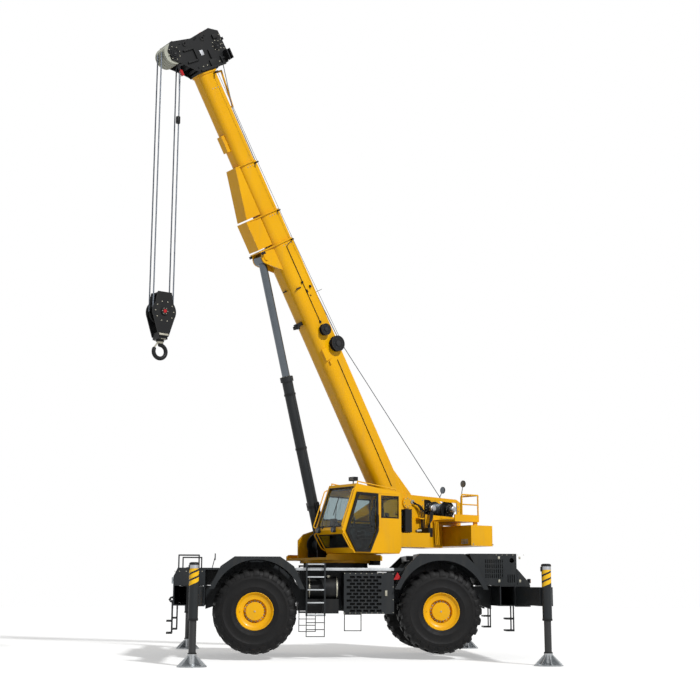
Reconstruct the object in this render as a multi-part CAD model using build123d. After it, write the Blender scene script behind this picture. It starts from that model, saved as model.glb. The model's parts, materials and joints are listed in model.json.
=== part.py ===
"""Rough-terrain mobile crane standing on its outriggers, in millimetres, +X forward, +Y left, +Z up."""

import os
from math import atan2, cos, degrees, hypot, radians, sin

from build123d import *

os.makedirs("parts", exist_ok=True)

# ---- carrier: driving dimensions ------------------------------------------------------------------
carrier_half_width = 1665
wheelbase = 4170
axle_mid_x = -167
axle_z = 1061
frame_half_width = 450
frame_bottom, rail_bottom, frame_top = 1050, 1250, 1620
rail_thick = 120
deck_bottom, deck_top = 1955, 2020
deck_half_width = 1500
turret_half_width, turret_half_length = 800, 900
joint_overlap = 10

# wheels
tyre_radius = 937.5
tyre_width = 749
tyre_sides = 24
carcass_radius = 893
lug_thick = 112
rim_seat_radius = 395
rim_flange_radius = 415
rim_half_width = 340
rim_flange_thick = 19.7
kingpin_offset = 585
kingpin_radius = 40
steering_gap = 6
spindle_radius = 100
hub_radius = 205
hub_bore_end = 232
running_gap = 0.05

# outriggers
outrigger_spread = 3660
outrigger_front_x, outrigger_rear_x = 3380, -3980
beam_offset = 170
beam_half_width, beam_bottom, beam_top = 145, 1215, 1605
beam_wall, beam_gap = 20, 10
beam_inner_end = 850
box_half_length, box_end_y, box_wall = 350, 1450, 25
jack_tube_radius, jack_tube_bore = 100, 76
jack_tube_bottom, jack_tube_top = 920, 2080
jack_rod_radius, jack_rod_top = 75, 1300
float_radius, float_height, float_ribs = 305, 262, 8

# fenders: arch through the wheel's top, measured from the axle
arch_radius, arch_centre_rise = 1015, 114
fender_plate, fender_foot_z = 60, 1545
fender_half_length, fender_shoulder_z, fender_top_z = 1062, 2047, 2260
front_fender_shift, rear_fender_shift, rear_fender_rise = -42, -25, 80

# hood, side boxes, ladders and tow lugs
hood_front_offset, hood_rear_overhang, hood_slope = 653, 50, 390
hood_top, hood_half_width, hood_wall = 2352, 1440, 30
louvre_columns, louvre_rows, louvre_pitch, louvre_width, louvre_height = 9, 4, 48, 20, 88
grille_rear, grille_front, grille_top, grille_height = -960, -70, 1915, 911
grille_rows, grille_columns, grille_row_pitch, grille_pitch = 11, 5, 74, 150
grille_slot, grille_slot_height = 112, 52
ladder_width = 440
tow_lug_y, tow_lug_thick, tow_lug_bore = 300, 40, 32

# ---- superstructure, a forward and l left of the slew axis ----------------------------------------
slew_x = 0
slew_deg = 32
turntable_bottom, turntable_top, turntable_radius = 2140, 2200, 845
base_front, base_rear, rib_l, wing_l = 855, -765, 820, 1010
plate_rear, plate_rise = -3700, -1300
side_plate_inner, side_plate_thick = 320, 30
foot_a, foot_z, foot_pin_radius = -1910, 3640, 70
counterweight_front, counterweight_rear, counterweight_half_width = -3100, -3900, 1380
counterweight_bottom, counterweight_top = 2590, 3090
cab_inner_l, cab_outer_l, cab_wall = 560, 1600, 40
cab_bottom_z, cab_roof_front_z, cab_roof_rear_z = 2350, 3905, 3750
cab_roof_front_a, cab_rear_a = 615, -700
door_gap, door_thick, door_frame = 8, 32, 55
glass_depth, glass_thick = 14, 8
hoist_places = ((-2650, 3520), (-3340, 3520))
drum_radius, drum_flange_radius, drum_half_length = 150, 230, 230

# lift cylinder
lift_foot_a, lift_foot_z, lift_lug_radius = 420, 2556, 280
lift_eye_x, lift_eye_z = 6880, -800
lift_pin_radius, lift_eye_half, lift_lug_thick = 60, 155, 35
barrel_length, barrel_radius, rod_radius, rod_gap = 4050, 128, 95, 2

# ---- boom, along X from the foot pin --------------------------------------------------------------
boom_deg = 60
boom_wall, collar_reach, collar_thick = 10, 40, 26
keel_half_width, base_nose_drop = 200, 400
# outside width, top and bottom from the foot pin's line, rear end, front end, keel's rear end, keel's rear depth
boom_sections = {
    "boom_base_section": (580, 100, -520, -250, 7080, 0, 0),
    "boom_inner_mid_section": (530, 78, -486, 100, 7840, 7120, 430),
    "boom_outer_mid_section": (480, 56, -452, 200, 9100, 7880, 430),
    "boom_fly_section": (430, 34, -418, 300, 11400, 0, 0),
}
nose_sheave_x, nose_sheave_z, nose_sheave_radius = 12020, -880, 232
top_sheave_x, top_sheave_z, top_sheave_radius = 11900, 330, 190
head_inner, head_plate = 216, 30
jib_pin_x, jib_pin_upper_z, jib_pin_lower_z, jib_pin_bore = 12150, 20, -520, 30
sheave_pin_radius = 45
rope_radius, rope_gap, rope_half_spacing = 11, 1, 90
hook_block_top, hook_block_height, block_drop = 8000, 1000, 440
hook_shank, hook_bowl_radius, hook_thick = 110, 150, 45

# ---- places worked out from them ------------------------------------------------------------------
front_axle_x = axle_mid_x + wheelbase / 2
rear_axle_x = axle_mid_x - wheelbase / 2
kingpin_y = carrier_half_width - kingpin_offset
tyre_y = carrier_half_width - tyre_width / 2
front_fender_x = front_axle_x + front_fender_shift
rear_fender_x = rear_axle_x + rear_fender_shift
deck_front = front_fender_x - fender_half_length + 156
deck_rear = rear_fender_x + fender_half_length - 235
side_front = front_fender_x - fender_half_length - 74
ladder_front = side_front + 50
grille_y = deck_half_width
hood_front = rear_fender_x - hood_front_offset
hood_rear = outrigger_rear_x - hood_rear_overhang
hook_block_bottom = hook_block_top - hook_block_height
cab_floor_z = cab_bottom_z + cab_wall + 1

slew_place = Location((slew_x, 0, 0), (0, 0, slew_deg))
boom_place = slew_place * Location((foot_a, 0, foot_z), (0, -boom_deg, 0))
boom_angle = radians(boom_deg)


def upper_point(x, z):
    """A point of the boom's own plane, as distance forward and height in the superstructure."""
    return (foot_a + x * cos(boom_angle) - z * sin(boom_angle),
            foot_z + x * sin(boom_angle) + z * cos(boom_angle))


eye_a, eye_z = upper_point(lift_eye_x, lift_eye_z)
nose_a, nose_z = upper_point(nose_sheave_x, nose_sheave_z)
lift_length = hypot(eye_a - lift_foot_a, eye_z - lift_foot_z)
lift_deg = degrees(atan2(eye_z - lift_foot_z, eye_a - lift_foot_a))
lift_place = slew_place * Location((lift_foot_a, 0, lift_foot_z), (0, -lift_deg, 0))
rope_reach = nose_sheave_radius + rope_radius + rope_gap
nodes = {}


# ---- helpers --------------------------------------------------------------------------------------
def box(x, y, z):
    """A box between pairs of limits."""
    centre = [(low + high) / 2 for low, high in (x, y, z)]
    return Pos(*centre) * Box(x[1] - x[0], y[1] - y[0], z[1] - z[0])


def side_plate(points, y0, y1):
    """A plate with an outline in X and Z, between two values of Y."""
    return outline_plate(Polygon(*points, align=None), y0, y1)


def outline_plate(face, y0, y1):
    """A plate from a flat face drawn in X and Z, between two values of Y."""
    return Pos(0, y1, 0) * extrude(Plane.XZ * face, amount=y1 - y0, dir=(0, -1, 0))


def bar(start, end, radius):
    """A round bar between two points."""
    line = Vector(*end) - Vector(*start)
    place = Plane(origin=start, z_dir=line)
    return place * Cylinder(radius, line.length, align=(Align.CENTER, Align.CENTER, Align.MIN))


def cross_bar(x, z, y0, y1, radius):
    """A round bar along Y."""
    return bar((x, y0, z), (x, y1, z), radius)


def both_sides(shape):
    """The shape and its mirror image across the centre plane."""
    return shape + mirror(shape, Plane.XZ)


def on_side(shape, side):
    """A shape drawn on the left, moved to its side."""
    return shape if side > 0 else mirror(shape, Plane.XZ)


def tube_path(points, radius):
    """A bent tube from straight bars with ball corners."""
    shape = Part()
    for start, end in zip(points, points[1:]):
        shape += bar(start, end, radius)
    for corner in points[1:-1]:
        shape += Pos(*corner) * Sphere(radius)
    return shape


def section_bar(width, top, bottom, rear, front):
    """A solid bar along X with a boom section's outline: a deep round at each lower corner."""
    outline = Pos(0, (top + bottom) / 2) * Rectangle(width, top - bottom)
    lower = outline.vertices().group_by(Axis.Y)[0]
    outline = fillet(lower, 0.34 * width)
    upper = outline.vertices().group_by(Axis.Y)[-1]
    outline = fillet(upper, 3 * boom_wall)
    return extrude(Plane.YZ.offset(rear) * outline, front - rear)


# ---- carrier --------------------------------------------------------------------------------------
def carrier_frame():
    rear_end, front_end = outrigger_rear_x + box_half_length, outrigger_front_x - box_half_length
    bay_x = deck_front + 30
    rail = [(rear_end, frame_bottom + 40), (rear_end + 480, rail_bottom), (front_end - 480, rail_bottom),
            (front_end, frame_bottom + 40), (front_end, frame_top), (rear_end, frame_top)]
    shape = both_sides(side_plate(rail, frame_half_width - rail_thick, frame_half_width))
    cross_members = ((rear_end + 80, rear_end + 430), (rear_axle_x + 650, rear_axle_x + 1050),
                     (bay_x + 250, bay_x + 450), (front_end - 480, front_end - 80))
    for x0, x1 in cross_members:
        shape += box((x0, x1), (-frame_half_width + 60, frame_half_width - 60), (frame_top - 240, frame_top))
    half = turret_half_length
    shape += box((-half, half), (-frame_half_width, frame_half_width), (frame_bottom, frame_top))
    shape += box((-half, half), (-turret_half_width, turret_half_width), (frame_top - joint_overlap, deck_bottom))
    return shape


def outrigger_box(x_mid):
    """The cross box whose two cells hold the beams, with a raised lip round each mouth."""
    low, high = beam_bottom - beam_gap - box_wall, beam_top + beam_gap + box_wall
    shape = box((x_mid - box_half_length, x_mid + box_half_length), (-box_end_y, box_end_y), (low, high))
    for side in (-1, 1):
        cell_x = x_mid - side * beam_offset
        reach = beam_half_width + beam_gap
        lip = box((cell_x - reach - box_wall, cell_x + reach + box_wall), (box_end_y - 5, box_end_y + 12),
                  (low - 15, high + 15))
        shape += on_side(lip, side)
        shape -= box((cell_x - reach, cell_x + reach), (-box_end_y - 41, box_end_y + 41),
                     (beam_bottom - beam_gap, beam_top + beam_gap))
    return shape


def front_deck_box():
    """The box over the front outriggers, its deck towards the fenders, its lamps and its tow lugs."""
    floor = beam_top + beam_gap + box_wall
    x0, x1 = outrigger_front_x - box_half_length, outrigger_front_x + box_half_length
    top = deck_top - joint_overlap
    slope = [(x0, floor - joint_overlap), (x0, top), (x1 - 90, top), (x1, top - 190), (x1, floor - joint_overlap)]
    shape = side_plate(slope, -box_end_y, box_end_y)
    shape += box((x0 - 310, x0), (-box_end_y, box_end_y), (top - 45, top))
    shape += box((x0 - 650, x0), (-frame_half_width, frame_half_width), (frame_top + joint_overlap, top))
    return shape


def front_lamps():
    lamp_x, lamp_z = outrigger_front_x + box_half_length, deck_top - 290
    shape = Part()
    for y in (980, 1180):
        shape += bar((lamp_x, y, lamp_z), (lamp_x + 45, y, lamp_z), 75)
    shape += box((lamp_x, lamp_x + 30), (1290, 1400), (lamp_z - 60, lamp_z + 60))
    return both_sides(shape)


def tow_lugs():
    x0 = outrigger_front_x + box_half_length
    outline = [(x0, 1210), (x0 + 110, 1240), (x0 + 150, 1300), (x0 + 110, 1360), (x0, 1390)]
    plate = side_plate(outline, tow_lug_y - tow_lug_thick / 2, tow_lug_y + tow_lug_thick / 2)
    plate -= cross_bar(x0 + 85, 1300, tow_lug_y - tow_lug_thick, tow_lug_y + tow_lug_thick, tow_lug_bore)
    return both_sides(plate)


def rear_gussets():
    """Sloping plates from the rear outrigger box up to the hood."""
    floor = beam_top + beam_gap + box_wall
    x1 = outrigger_rear_x - box_half_length
    outline = [(x1, floor - joint_overlap), (x1 + 15, floor + 60), (hood_rear - 10, deck_top - joint_overlap),
               (hood_rear - 10, floor - joint_overlap)]
    shape = both_sides(side_plate(outline, box_end_y - 60, box_end_y))
    shape += both_sides(side_plate(outline, 500, 530))
    return shape


def fender(x_mid, rise):
    """Outer plate with the wheel arch cut in it, and the arched sheet over the tyre."""
    half, top = fender_half_length, fender_top_z + rise
    y1 = carrier_half_width - 45
    y0, inner_y = y1 - fender_plate, frame_half_width + 130
    centre_z = axle_z + arch_centre_rise
    radius = arch_radius
    outline = [(-half, fender_foot_z), (-half + 247, fender_shoulder_z), (-half + 555, top), (half - 555, top),
               (half - 247, fender_shoulder_z), (half, fender_foot_z)]
    plate = side_plate([(x_mid + x, z) for x, z in outline], y0, y1)
    plate -= cross_bar(x_mid, centre_z, y0 - 1, y1 + 1, radius)
    plate -= box((x_mid - radius + 70, x_mid + radius - 70), (y0 - 1, y1 + 1), (fender_foot_z - 1, centre_z + 400))
    arch = cross_bar(x_mid, centre_z, inner_y, y0 + joint_overlap, radius + 40)
    arch -= cross_bar(x_mid, centre_z, inner_y - 1, y1, radius)
    arch -= box((x_mid - 2 * radius, x_mid + 2 * radius), (inner_y - 1, y1), (centre_z - 2 * radius, centre_z + 640))
    lid = box((x_mid - half + 555, x_mid + half - 555), (inner_y, y0 + joint_overlap),
              (centre_z + radius + 10, top))
    return plate + arch + lid


def fenders():
    shape = Part()
    for x_mid, rise in ((front_fender_x, 0), (rear_fender_x, rear_fender_rise)):
        shape += both_sides(fender(x_mid, rise))
    return shape


def deck():
    """The deck with its edge channel and the collar under the slewing ring."""
    shape = box((deck_rear, deck_front), (-deck_half_width, deck_half_width), (deck_bottom, deck_top))
    return shape


def slew_bearing():
    ring = Cylinder(760, turntable_bottom - deck_top) - Cylinder(620, turntable_bottom)
    return Pos(slew_x, 0, (turntable_bottom + deck_top) / 2) * ring


def engine_hood():
    """Louvred hood over the engine, as wide as the rear outrigger box, sloped to the fenders in front."""
    floor = beam_top + beam_gap + box_wall + 5
    half, front = hood_half_width, hood_front - hood_slope
    outline = [(hood_rear, floor), (hood_rear, hood_top), (hood_front, hood_top), (front, floor)]
    shape = side_plate(outline, -half, half)
    inner = offset(Polygon(*outline, align=None), -hood_wall)
    shape -= outline_plate(inner, -half + hood_wall, half - hood_wall)
    shape -= box((hood_rear + hood_wall, front - hood_wall), (80 - half, half - 80), (floor - 1, floor + hood_wall + 1))
    cuts = []
    for column in range(louvre_columns):
        x = hood_rear + 320 + column * louvre_pitch
        for row in range(louvre_rows):
            z = hood_top - 130 - row * (louvre_height + 22)
            cuts.append(box((x, x + louvre_width), (-half - 1, half + 1), (z - louvre_height, z)))
    for column in range(4):
        x = hood_rear + 50 + column * louvre_pitch
        cuts.append(box((x, x + louvre_width), (-half - 1, half + 1), (floor + 60, floor + 240)))
    cuts.append(cross_bar(hood_rear + 110, hood_top - 150, -half - 1, half + 1, 55))
    for cut in cuts:
        shape -= cut
    return shape


def engine_block():
    return box((hood_rear + 180, hood_rear + 610), (-480, 480), (1660, 2250))


def grille_cuts():
    """Staggered slots through the side panel."""
    cuts = []
    for row in range(grille_rows):
        z = grille_top - 75 - row * grille_row_pitch
        shift = grille_pitch / 2 * (row % 2)
        for column in range(grille_columns):
            x = grille_rear + 45 + shift + column * grille_pitch
            cuts.append(box((x, x + grille_slot), (grille_y - 31, grille_y + 1), (z - grille_slot_height, z)))
    return cuts


def left_side_box():
    """Oil cooler box: slotted panel, plain door behind it, and the box's body."""
    z0, z1 = grille_top - grille_height, grille_top
    panel = box((grille_rear, grille_front), (grille_y - 120, grille_y), (z0, z1))
    panel -= box((grille_rear + 25, grille_front - 25), (grille_y - 100, grille_y - 30), (z0 + 25, z1 - 25))
    for cut in grille_cuts():
        panel -= cut
    door = box((grille_rear - 240, grille_rear + joint_overlap), (grille_y - 110, grille_y - 10), (z0, z1))
    body = box((grille_rear, grille_front), (turret_half_width, grille_y - 110), (z0 + 56, z1))
    return panel + door + body


def left_tanks():
    """Round tank lying along the carrier between its end bands, over a battery box."""
    y, z, radius = deck_half_width - 320, 1560, 250
    x0, x1 = grille_front + 110, side_front
    shape = bar((x0, y, z), (x1, y, z), radius)
    for x in (x0 + 20, x1 - 60):
        shape += bar((x, y, z), (x + 40, y, z), radius + 18)
    shape += box((x0, x1), (turret_half_width, y + radius - 30), (1010, 1330))
    return shape


def right_side_box():
    """Fuel tank with a step plate on top and a filler cap."""
    x0, x1 = grille_rear, side_front
    shape = box((x0, x1), (-deck_half_width, -turret_half_width), (1060, 1915))
    shape = fillet(shape.edges().filter_by(Axis.X).sort_by(Axis.Y)[:2], 90)
    shape += bar((x1 - 200, -deck_half_width + 5, 1700), (x1 - 200, -deck_half_width - 25, 1700), 60)
    return shape


def ladder(x0, x1, top, bottom, rungs, rail, depth):
    y = deck_half_width + 5
    shape = Part()
    for x in (x0, x1 - rail):
        shape += box((x, x + rail), (y, y + depth), (bottom, top))
    for k in range(rungs):
        z = bottom + rail / 2 + k * (top - bottom - rail) / (rungs - 1)
        shape += box((x0, x1), (y, y + depth), (z - rail / 2, z + rail / 2))
    return shape


def side_ladder():
    """Wide upper steps with a lighter hinged part below."""
    x0, x1 = ladder_front - ladder_width, ladder_front
    upper = ladder(x0, x1, deck_top + 100, 960, 5, 34, 110)
    lower = ladder(x0 + 8, x1 - 8, 975, 503, 4, 18, 40)
    return upper + lower


def hanging_step(x0, x1, top, bottom):
    """A step on two rubber straps."""
    shape = Part()
    for y in (box_end_y - 330, box_end_y - 50):
        shape += box((x0, x0 + 25), (y, y + 40), (bottom, top))
    for z in (bottom, bottom + 260):
        shape += box((x0, x1), (box_end_y - 330, box_end_y), (z, z + 40))
    return shape


def mirror_on_stalk(foot, head, radius):
    """A round mirror on a thin stalk."""
    shape = bar(foot, head, 9)
    x, y, z = head
    return shape + bar((x - 12, y, z), (x + 12, y, z), radius)


def steps_and_rails():
    front_x = outrigger_front_x + box_half_length
    rear_x = outrigger_rear_x
    top = deck_top - joint_overlap
    shape = both_sides(side_ladder())
    shape += ladder(grille_front - 390, grille_front, grille_top - grille_height, 630, 2, 18, 40)
    shape += both_sides(hanging_step(front_x, front_x + 130, 1300, 570))
    shape += both_sides(hanging_step(rear_x + 30, rear_x + 210, beam_bottom - beam_gap - box_wall, 620))
    rail_x0, rail_x1 = front_x - 550, front_x - 100
    for y in (300 - deck_half_width, deck_half_width - 300):
        high = top + 280
        shape += tube_path([(rail_x0, y, top), (rail_x0, y, high), (rail_x1, y, high), (rail_x1, y, top)], 16)
    mirror_x, mirror_y = outrigger_front_x - box_half_length - 150, deck_half_width - 200
    shape += mirror_on_stalk((mirror_x, mirror_y, top + 3), (mirror_x - 60, mirror_y, top + 245), 75)
    return shape


def axle(x):
    shape = cross_bar(x, axle_z, -kingpin_y + 130, kingpin_y - 130, 125)
    shape += Pos(x, 0, axle_z) * Sphere(290)
    mount_inner = frame_half_width - rail_thick + 10
    mount = box((x - 110, x + 110), (mount_inner, frame_half_width - 10), (axle_z, rail_bottom))
    shape += both_sides(mount)
    fork = box((x - 75, x + 75), (kingpin_y - 180, kingpin_y - 135), (axle_z - 262, axle_z + 262))
    for z0, z1 in ((axle_z + 205 + steering_gap, axle_z + 262), (axle_z - 262, axle_z - 205 - steering_gap)):
        fork += box((x - 75, x + 75), (kingpin_y - 180, kingpin_y + 70), (z0, z1))
    fork += bar((x, kingpin_y, axle_z - 262), (x, kingpin_y, axle_z + 262), kingpin_radius)
    return shape + both_sides(fork)


def knuckle(x, side):
    shape = bar((x, kingpin_y, axle_z - 205), (x, kingpin_y, axle_z + 205), 115)
    shape += bar((x, kingpin_y, axle_z), (x, tyre_y + hub_bore_end - 2, axle_z), spindle_radius)
    shape -= bar((x, kingpin_y, axle_z - 300), (x, kingpin_y, axle_z + 300), kingpin_radius + running_gap)
    return on_side(shape, side)


def rim(x, side):
    seat, flange, half, lip = rim_seat_radius, rim_flange_radius, rim_half_width, rim_flange_thick
    profile = [(seat - 25, -half), (flange, -half), (flange, -half + lip), (seat - running_gap, -half + lip),
               (seat - running_gap, half - lip), (flange, half - lip), (flange, half), (seat - 25, half)]
    shape = revolve(Plane.XY * Polygon(*profile, align=None), Axis.Y)
    disc = cross_bar(0, 0, 135, 165, seat - 10) - cross_bar(0, 0, 134, 166, spindle_radius + 30)
    disc += cross_bar(0, 0, 225, 262, seat - 10) - cross_bar(0, 0, 224, 263, hub_radius + 60)
    hub = cross_bar(0, 0, 50, 300, hub_radius)
    hub -= cross_bar(0, 0, -100, hub_bore_end, spindle_radius + running_gap)
    shape += disc + hub
    return on_side(Pos(x, tyre_y, axle_z) * shape, side)


def tyre_ring(y, radius):
    """The tyre's many-sided outline at one place across its width, turned so that each lug meets one flat."""
    return Location((0, y, 0), (-90, 0, 0)) * RegularPolygon(radius, tyre_sides, rotation=90 / tyre_sides)


def tyre_shape():
    """A tyre about Y: a many-sided carcass with two rows of staggered shoulder lugs."""
    half, turn = tyre_width / 2, 360 / tyre_sides
    shoulder_y, side_radius = half - 56, carcass_radius - 53
    rings = ((-half, side_radius), (-shoulder_y, carcass_radius), (shoulder_y, carcass_radius), (half, side_radius))
    tyre = Part()
    for (y0, r0), (y1, r1) in zip(rings, rings[1:]):
        tyre += loft([tyre_ring(y0, r0), tyre_ring(y1, r1)], ruled=True)
    lug = [(carcass_radius - 25, 40), (tyre_radius, 40), (tyre_radius - 8, shoulder_y), (side_radius - 40, half),
           (side_radius - 60, half - 30), (carcass_radius - 25, shoulder_y - 20)]
    block = Pos(0, 0, -lug_thick / 2) * extrude(Plane.XY * Polygon(*lug, align=None), amount=lug_thick, dir=(0, 0, 1))
    for k in range(tyre_sides):
        tyre += Rot(0, k * turn, 0) * block
        tyre += Rot(0, (k + 0.5) * turn, 0) * mirror(block, Plane.XZ)
    seat_y = rim_half_width - rim_flange_thick
    for side in (-1, 1):
        tyre -= loft([tyre_ring(side * seat_y, rim_flange_radius + 10), tyre_ring(side * (half + 1), side_radius - 240)],
                     ruled=True)
    bore = Location((0, -half - 1, 0), (-90, 0, 0)) * RegularPolygon(rim_seat_radius, tyre_sides, major_radius=False)
    return tyre - extrude(bore, tyre_width + 2)


def outrigger_beam(x, side):
    shape = box((x - beam_half_width, x + beam_half_width), (beam_inner_end, outrigger_spread - 60),
                (beam_bottom, beam_top))
    shape -= box((x - beam_half_width + beam_wall, x + beam_half_width - beam_wall),
                 (beam_inner_end - 1, outrigger_spread - jack_tube_radius - 30),
                 (beam_bottom + beam_wall, beam_top - beam_wall))
    y = outrigger_spread
    shape += bar((x, y, jack_tube_bottom), (x, y, jack_tube_top), jack_tube_radius)
    shape -= bar((x, y, jack_tube_bottom - 1), (x, y, jack_tube_top - 20), jack_tube_bore)
    return on_side(shape, side)


def jack(x, side):
    """Jack rod with a round float stiffened by ribs."""
    y = outrigger_spread
    shape = bar((x, y, float_height - 60), (x, y, jack_rod_top), jack_rod_radius)
    profile = [(0, 0), (float_radius, 0), (float_radius, 22), (90, 60), (90, float_height), (0, float_height)]
    foot = revolve(Plane.XZ * Polygon(*profile, align=None), Axis.Z)
    rib = side_plate([(0, 10), (float_radius - 15, 10), (float_radius - 15, 34), (80, float_height - 20),
                      (0, float_height - 20)], -7, 7)
    for k in range(float_ribs):
        foot += Rot(0, 0, k * 360 / float_ribs) * rib
    return on_side(shape + Pos(x, y, 0) * foot, side)


# ---- superstructure -------------------------------------------------------------------------------
def upper_frame():
    """Turntable, the two tall side plates that carry the boom's foot, and the brackets beside them."""
    inner, outer = side_plate_inner, side_plate_inner + side_plate_thick
    base_top = turntable_top + 60
    shape = box((base_rear, base_front), (-rib_l, rib_l), (turntable_top, base_top))
    shape += Pos(slew_x, 0, (turntable_bottom + turntable_top) / 2) * (
        Cylinder(turntable_radius, turntable_top - turntable_bottom) - Cylinder(600, 100))
    for side, front in ((1, lift_foot_a + 60), (-1, base_front)):
        plate = [(front, base_top - 5), (front + 5, 2670), (front - 150, 2815), (250, 2950), (-700, 3300),
                 (foot_a + 260, foot_z + 210), (plate_rear + 130, foot_z + 140), (plate_rear, foot_z + 60),
                 (plate_rear, counterweight_top + 20), (counterweight_front + 20, counterweight_top + 20),
                 (counterweight_front + 20, counterweight_bottom - 30), (plate_rise, counterweight_bottom - 45),
                 (base_rear, base_top - 5)]
        window = [(plate_rear + 120, 3330), (plate_rear + 120, 3690), (-2480, 3740), (-2480, 3370)]
        shape += on_side(side_plate(plate, inner, outer) - side_plate(window, inner - 1, outer + 1), side)
    rib_top = cab_bottom_z - 10
    rib = [(base_front, base_top - 5), (base_front, rib_top - 40), (base_front - 60, rib_top),
           (base_rear + 60, rib_top), (base_rear, rib_top - 40), (base_rear, base_top - 5)]
    shape += both_sides(side_plate(rib, rib_l - 30, rib_l))
    shape += cross_bar(foot_a, foot_z, -outer - 30, outer + 30, foot_pin_radius)
    shape += both_sides(cross_bar(foot_a, foot_z, outer, outer + 40, foot_pin_radius + 70))
    shape += box((counterweight_front + 20, counterweight_front + 800), (-inner, inner), (2640, 2700))
    wing_front, wing_rear = cab_rear_a - 200, -2070
    wing = [(wing_front, 2530), (wing_front, 2850), (wing_rear - 20, 2880), (wing_rear, 2545)]
    shape += both_sides(side_plate(wing, wing_l - 30, wing_l))
    shape += both_sides(box((wing_rear, wing_front), (outer - 5, wing_l), (2530, 2570)))
    shape += both_sides(box((wing_front - 40, wing_front), (outer - 5, wing_l), (2530, 2850)))
    return shape


def lift_foot_bracket():
    """Two round lugs either side of the lift cylinder's foot, with their bolt heads."""
    y0 = lift_eye_half + 10
    y1 = y0 + lift_lug_thick
    lug = cross_bar(lift_foot_a, lift_foot_z, y0, y1, lift_lug_radius)
    half = lift_lug_radius - 30
    lug += box((lift_foot_a - half, lift_foot_a + half), (y0, y1), (turntable_top + 60, lift_foot_z))
    for turn in range(0, 360, 60):
        a = lift_foot_a + 0.72 * lift_lug_radius * cos(radians(turn))
        z = lift_foot_z + 0.72 * lift_lug_radius * sin(radians(turn))
        lug += cross_bar(a, z, y1, y1 + 22, 24)
    lug += cross_bar(lift_foot_a, lift_foot_z, y1, y1 + 40, lift_pin_radius + 30)
    return both_sides(lug)


def counterweight():
    low, high, half = counterweight_bottom, counterweight_top, counterweight_half_width
    shape = box((counterweight_rear, counterweight_front), (-half, half), (low, high))
    shape = chamfer(shape.edges().filter_by(Axis.Z).sort_by(Axis.X)[:2], 90)
    shape += box((counterweight_front - joint_overlap, counterweight_front + 15), (-300, 300), (low + 60, high - 60))
    for l in (-1100, 1100):
        shape += box((-3560, -3440), (l - 20, l + 20), (high - 5, high + 90))
    return shape


cab_outline = [(670, cab_bottom_z), (1015, cab_bottom_z + 505), (cab_roof_front_a, cab_roof_front_z),
               (cab_rear_a, cab_roof_rear_z), (cab_rear_a, cab_bottom_z + 90), (cab_rear_a + 60, cab_bottom_z)]
door_outline = [(640, 2375), (925, 2830), (612, 3715), (10, 3695), (0, 2850), (235, 2375)]
doorway_outline = [(628, 2410), (893, 2835), (592, 3682), (42, 3663), (32, 2865), (252, 2410)]


def roof_z(a):
    """Height of the sloping roof at a distance in front of the slew axis."""
    share = (a - cab_rear_a) / (cab_roof_front_a - cab_rear_a)
    return cab_roof_rear_z + share * (cab_roof_front_z - cab_roof_rear_z)


def shrink(points, amount):
    """The outline moved inwards by a wall's thickness."""
    return offset(Polygon(*points, align=None), -amount)


def cab_skin(depth):
    """The cab's outside shape, moved inwards by a depth."""
    return outline_plate(shrink(cab_outline, depth), cab_inner_l + depth, cab_outer_l - depth)


def window_cuts():
    """One block through the wall for each fixed window."""
    rear_side = [(-100, 3150), (-100, 3665), (-625, 3665), (-625, 3150)]
    right_side = [(830, 3100), (620, 3670), (-600, 3640), (-600, 3100)]
    windscreen = [(1150, 2920), (1150, 3840), (575, 3840), (925, 2920)]
    lower_screen = [(1150, 2470), (1150, 2765), (850, 2765), (655, 2470)]
    inner, outer = cab_inner_l, cab_outer_l
    return [side_plate(rear_side, outer - cab_wall - 1, outer + 1),
            side_plate(right_side, inner - 1, inner + cab_wall + 1),
            side_plate(windscreen, inner + 60, outer - 60),
            side_plate(lower_screen, inner + 60, outer - 60),
            box((-400, 250), (inner + 120, outer - 120), (3680, 3990)),
            box((cab_rear_a - 20, cab_rear_a + 100), (inner + 80, outer - 80), (3100, 3640))]


def cab_shell():
    shape = cab_skin(running_gap) - cab_skin(cab_wall)
    shape -= side_plate(doorway_outline, cab_outer_l - cab_wall - 1, cab_outer_l + 1)
    for cut in window_cuts():
        shape -= cut
    foot = box((-560, 560), (cab_inner_l + 60, rib_l - 35), (turntable_top + 60, cab_bottom_z + 20))
    for l in (cab_inner_l + 30, cab_outer_l - 30):
        rail = [(560, 10), (560, -55), (-560, -55), (-560, 10)]
        shape += tube_path([(a, l, roof_z(a) - depth) for a, depth in rail], 14)
    return shape + foot


def cab_windows():
    skin = cab_skin(glass_depth) - cab_skin(glass_depth + glass_thick)
    panes = Part()
    for cut in window_cuts():
        panes += skin & cut
    return panes


def cab_door():
    """Sliding door's frame with its grab handle."""
    y0 = cab_outer_l + door_gap
    shape = side_plate(door_outline, y0, y0 + door_thick)
    shape -= outline_plate(shrink(door_outline, door_frame), y0 - 1, y0 + door_thick + 1)
    y1 = y0 + door_thick
    handle = [(y1 - 5, 2960), (y1 + 40, 2960), (y1 + 40, 3210), (y1 - 5, 3210)]
    shape += tube_path([(35, y, z) for y, z in handle], 10)
    return shape


def door_glass():
    y0 = cab_outer_l + door_gap + 10
    return outline_plate(shrink(door_outline, door_frame), y0, y0 + glass_thick)


def operator_chair():
    middle = (cab_inner_l + cab_outer_l) / 2
    seat = cab_floor_z + 360
    shape = box((-360, 150), (middle - 230, middle + 230), (seat, seat + 120))
    shape += box((-470, -350), (middle - 210, middle + 210), (seat, seat + 680))
    shape += box((-250, 50), (middle - 130, middle + 130), (cab_floor_z, seat))
    return shape


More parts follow.
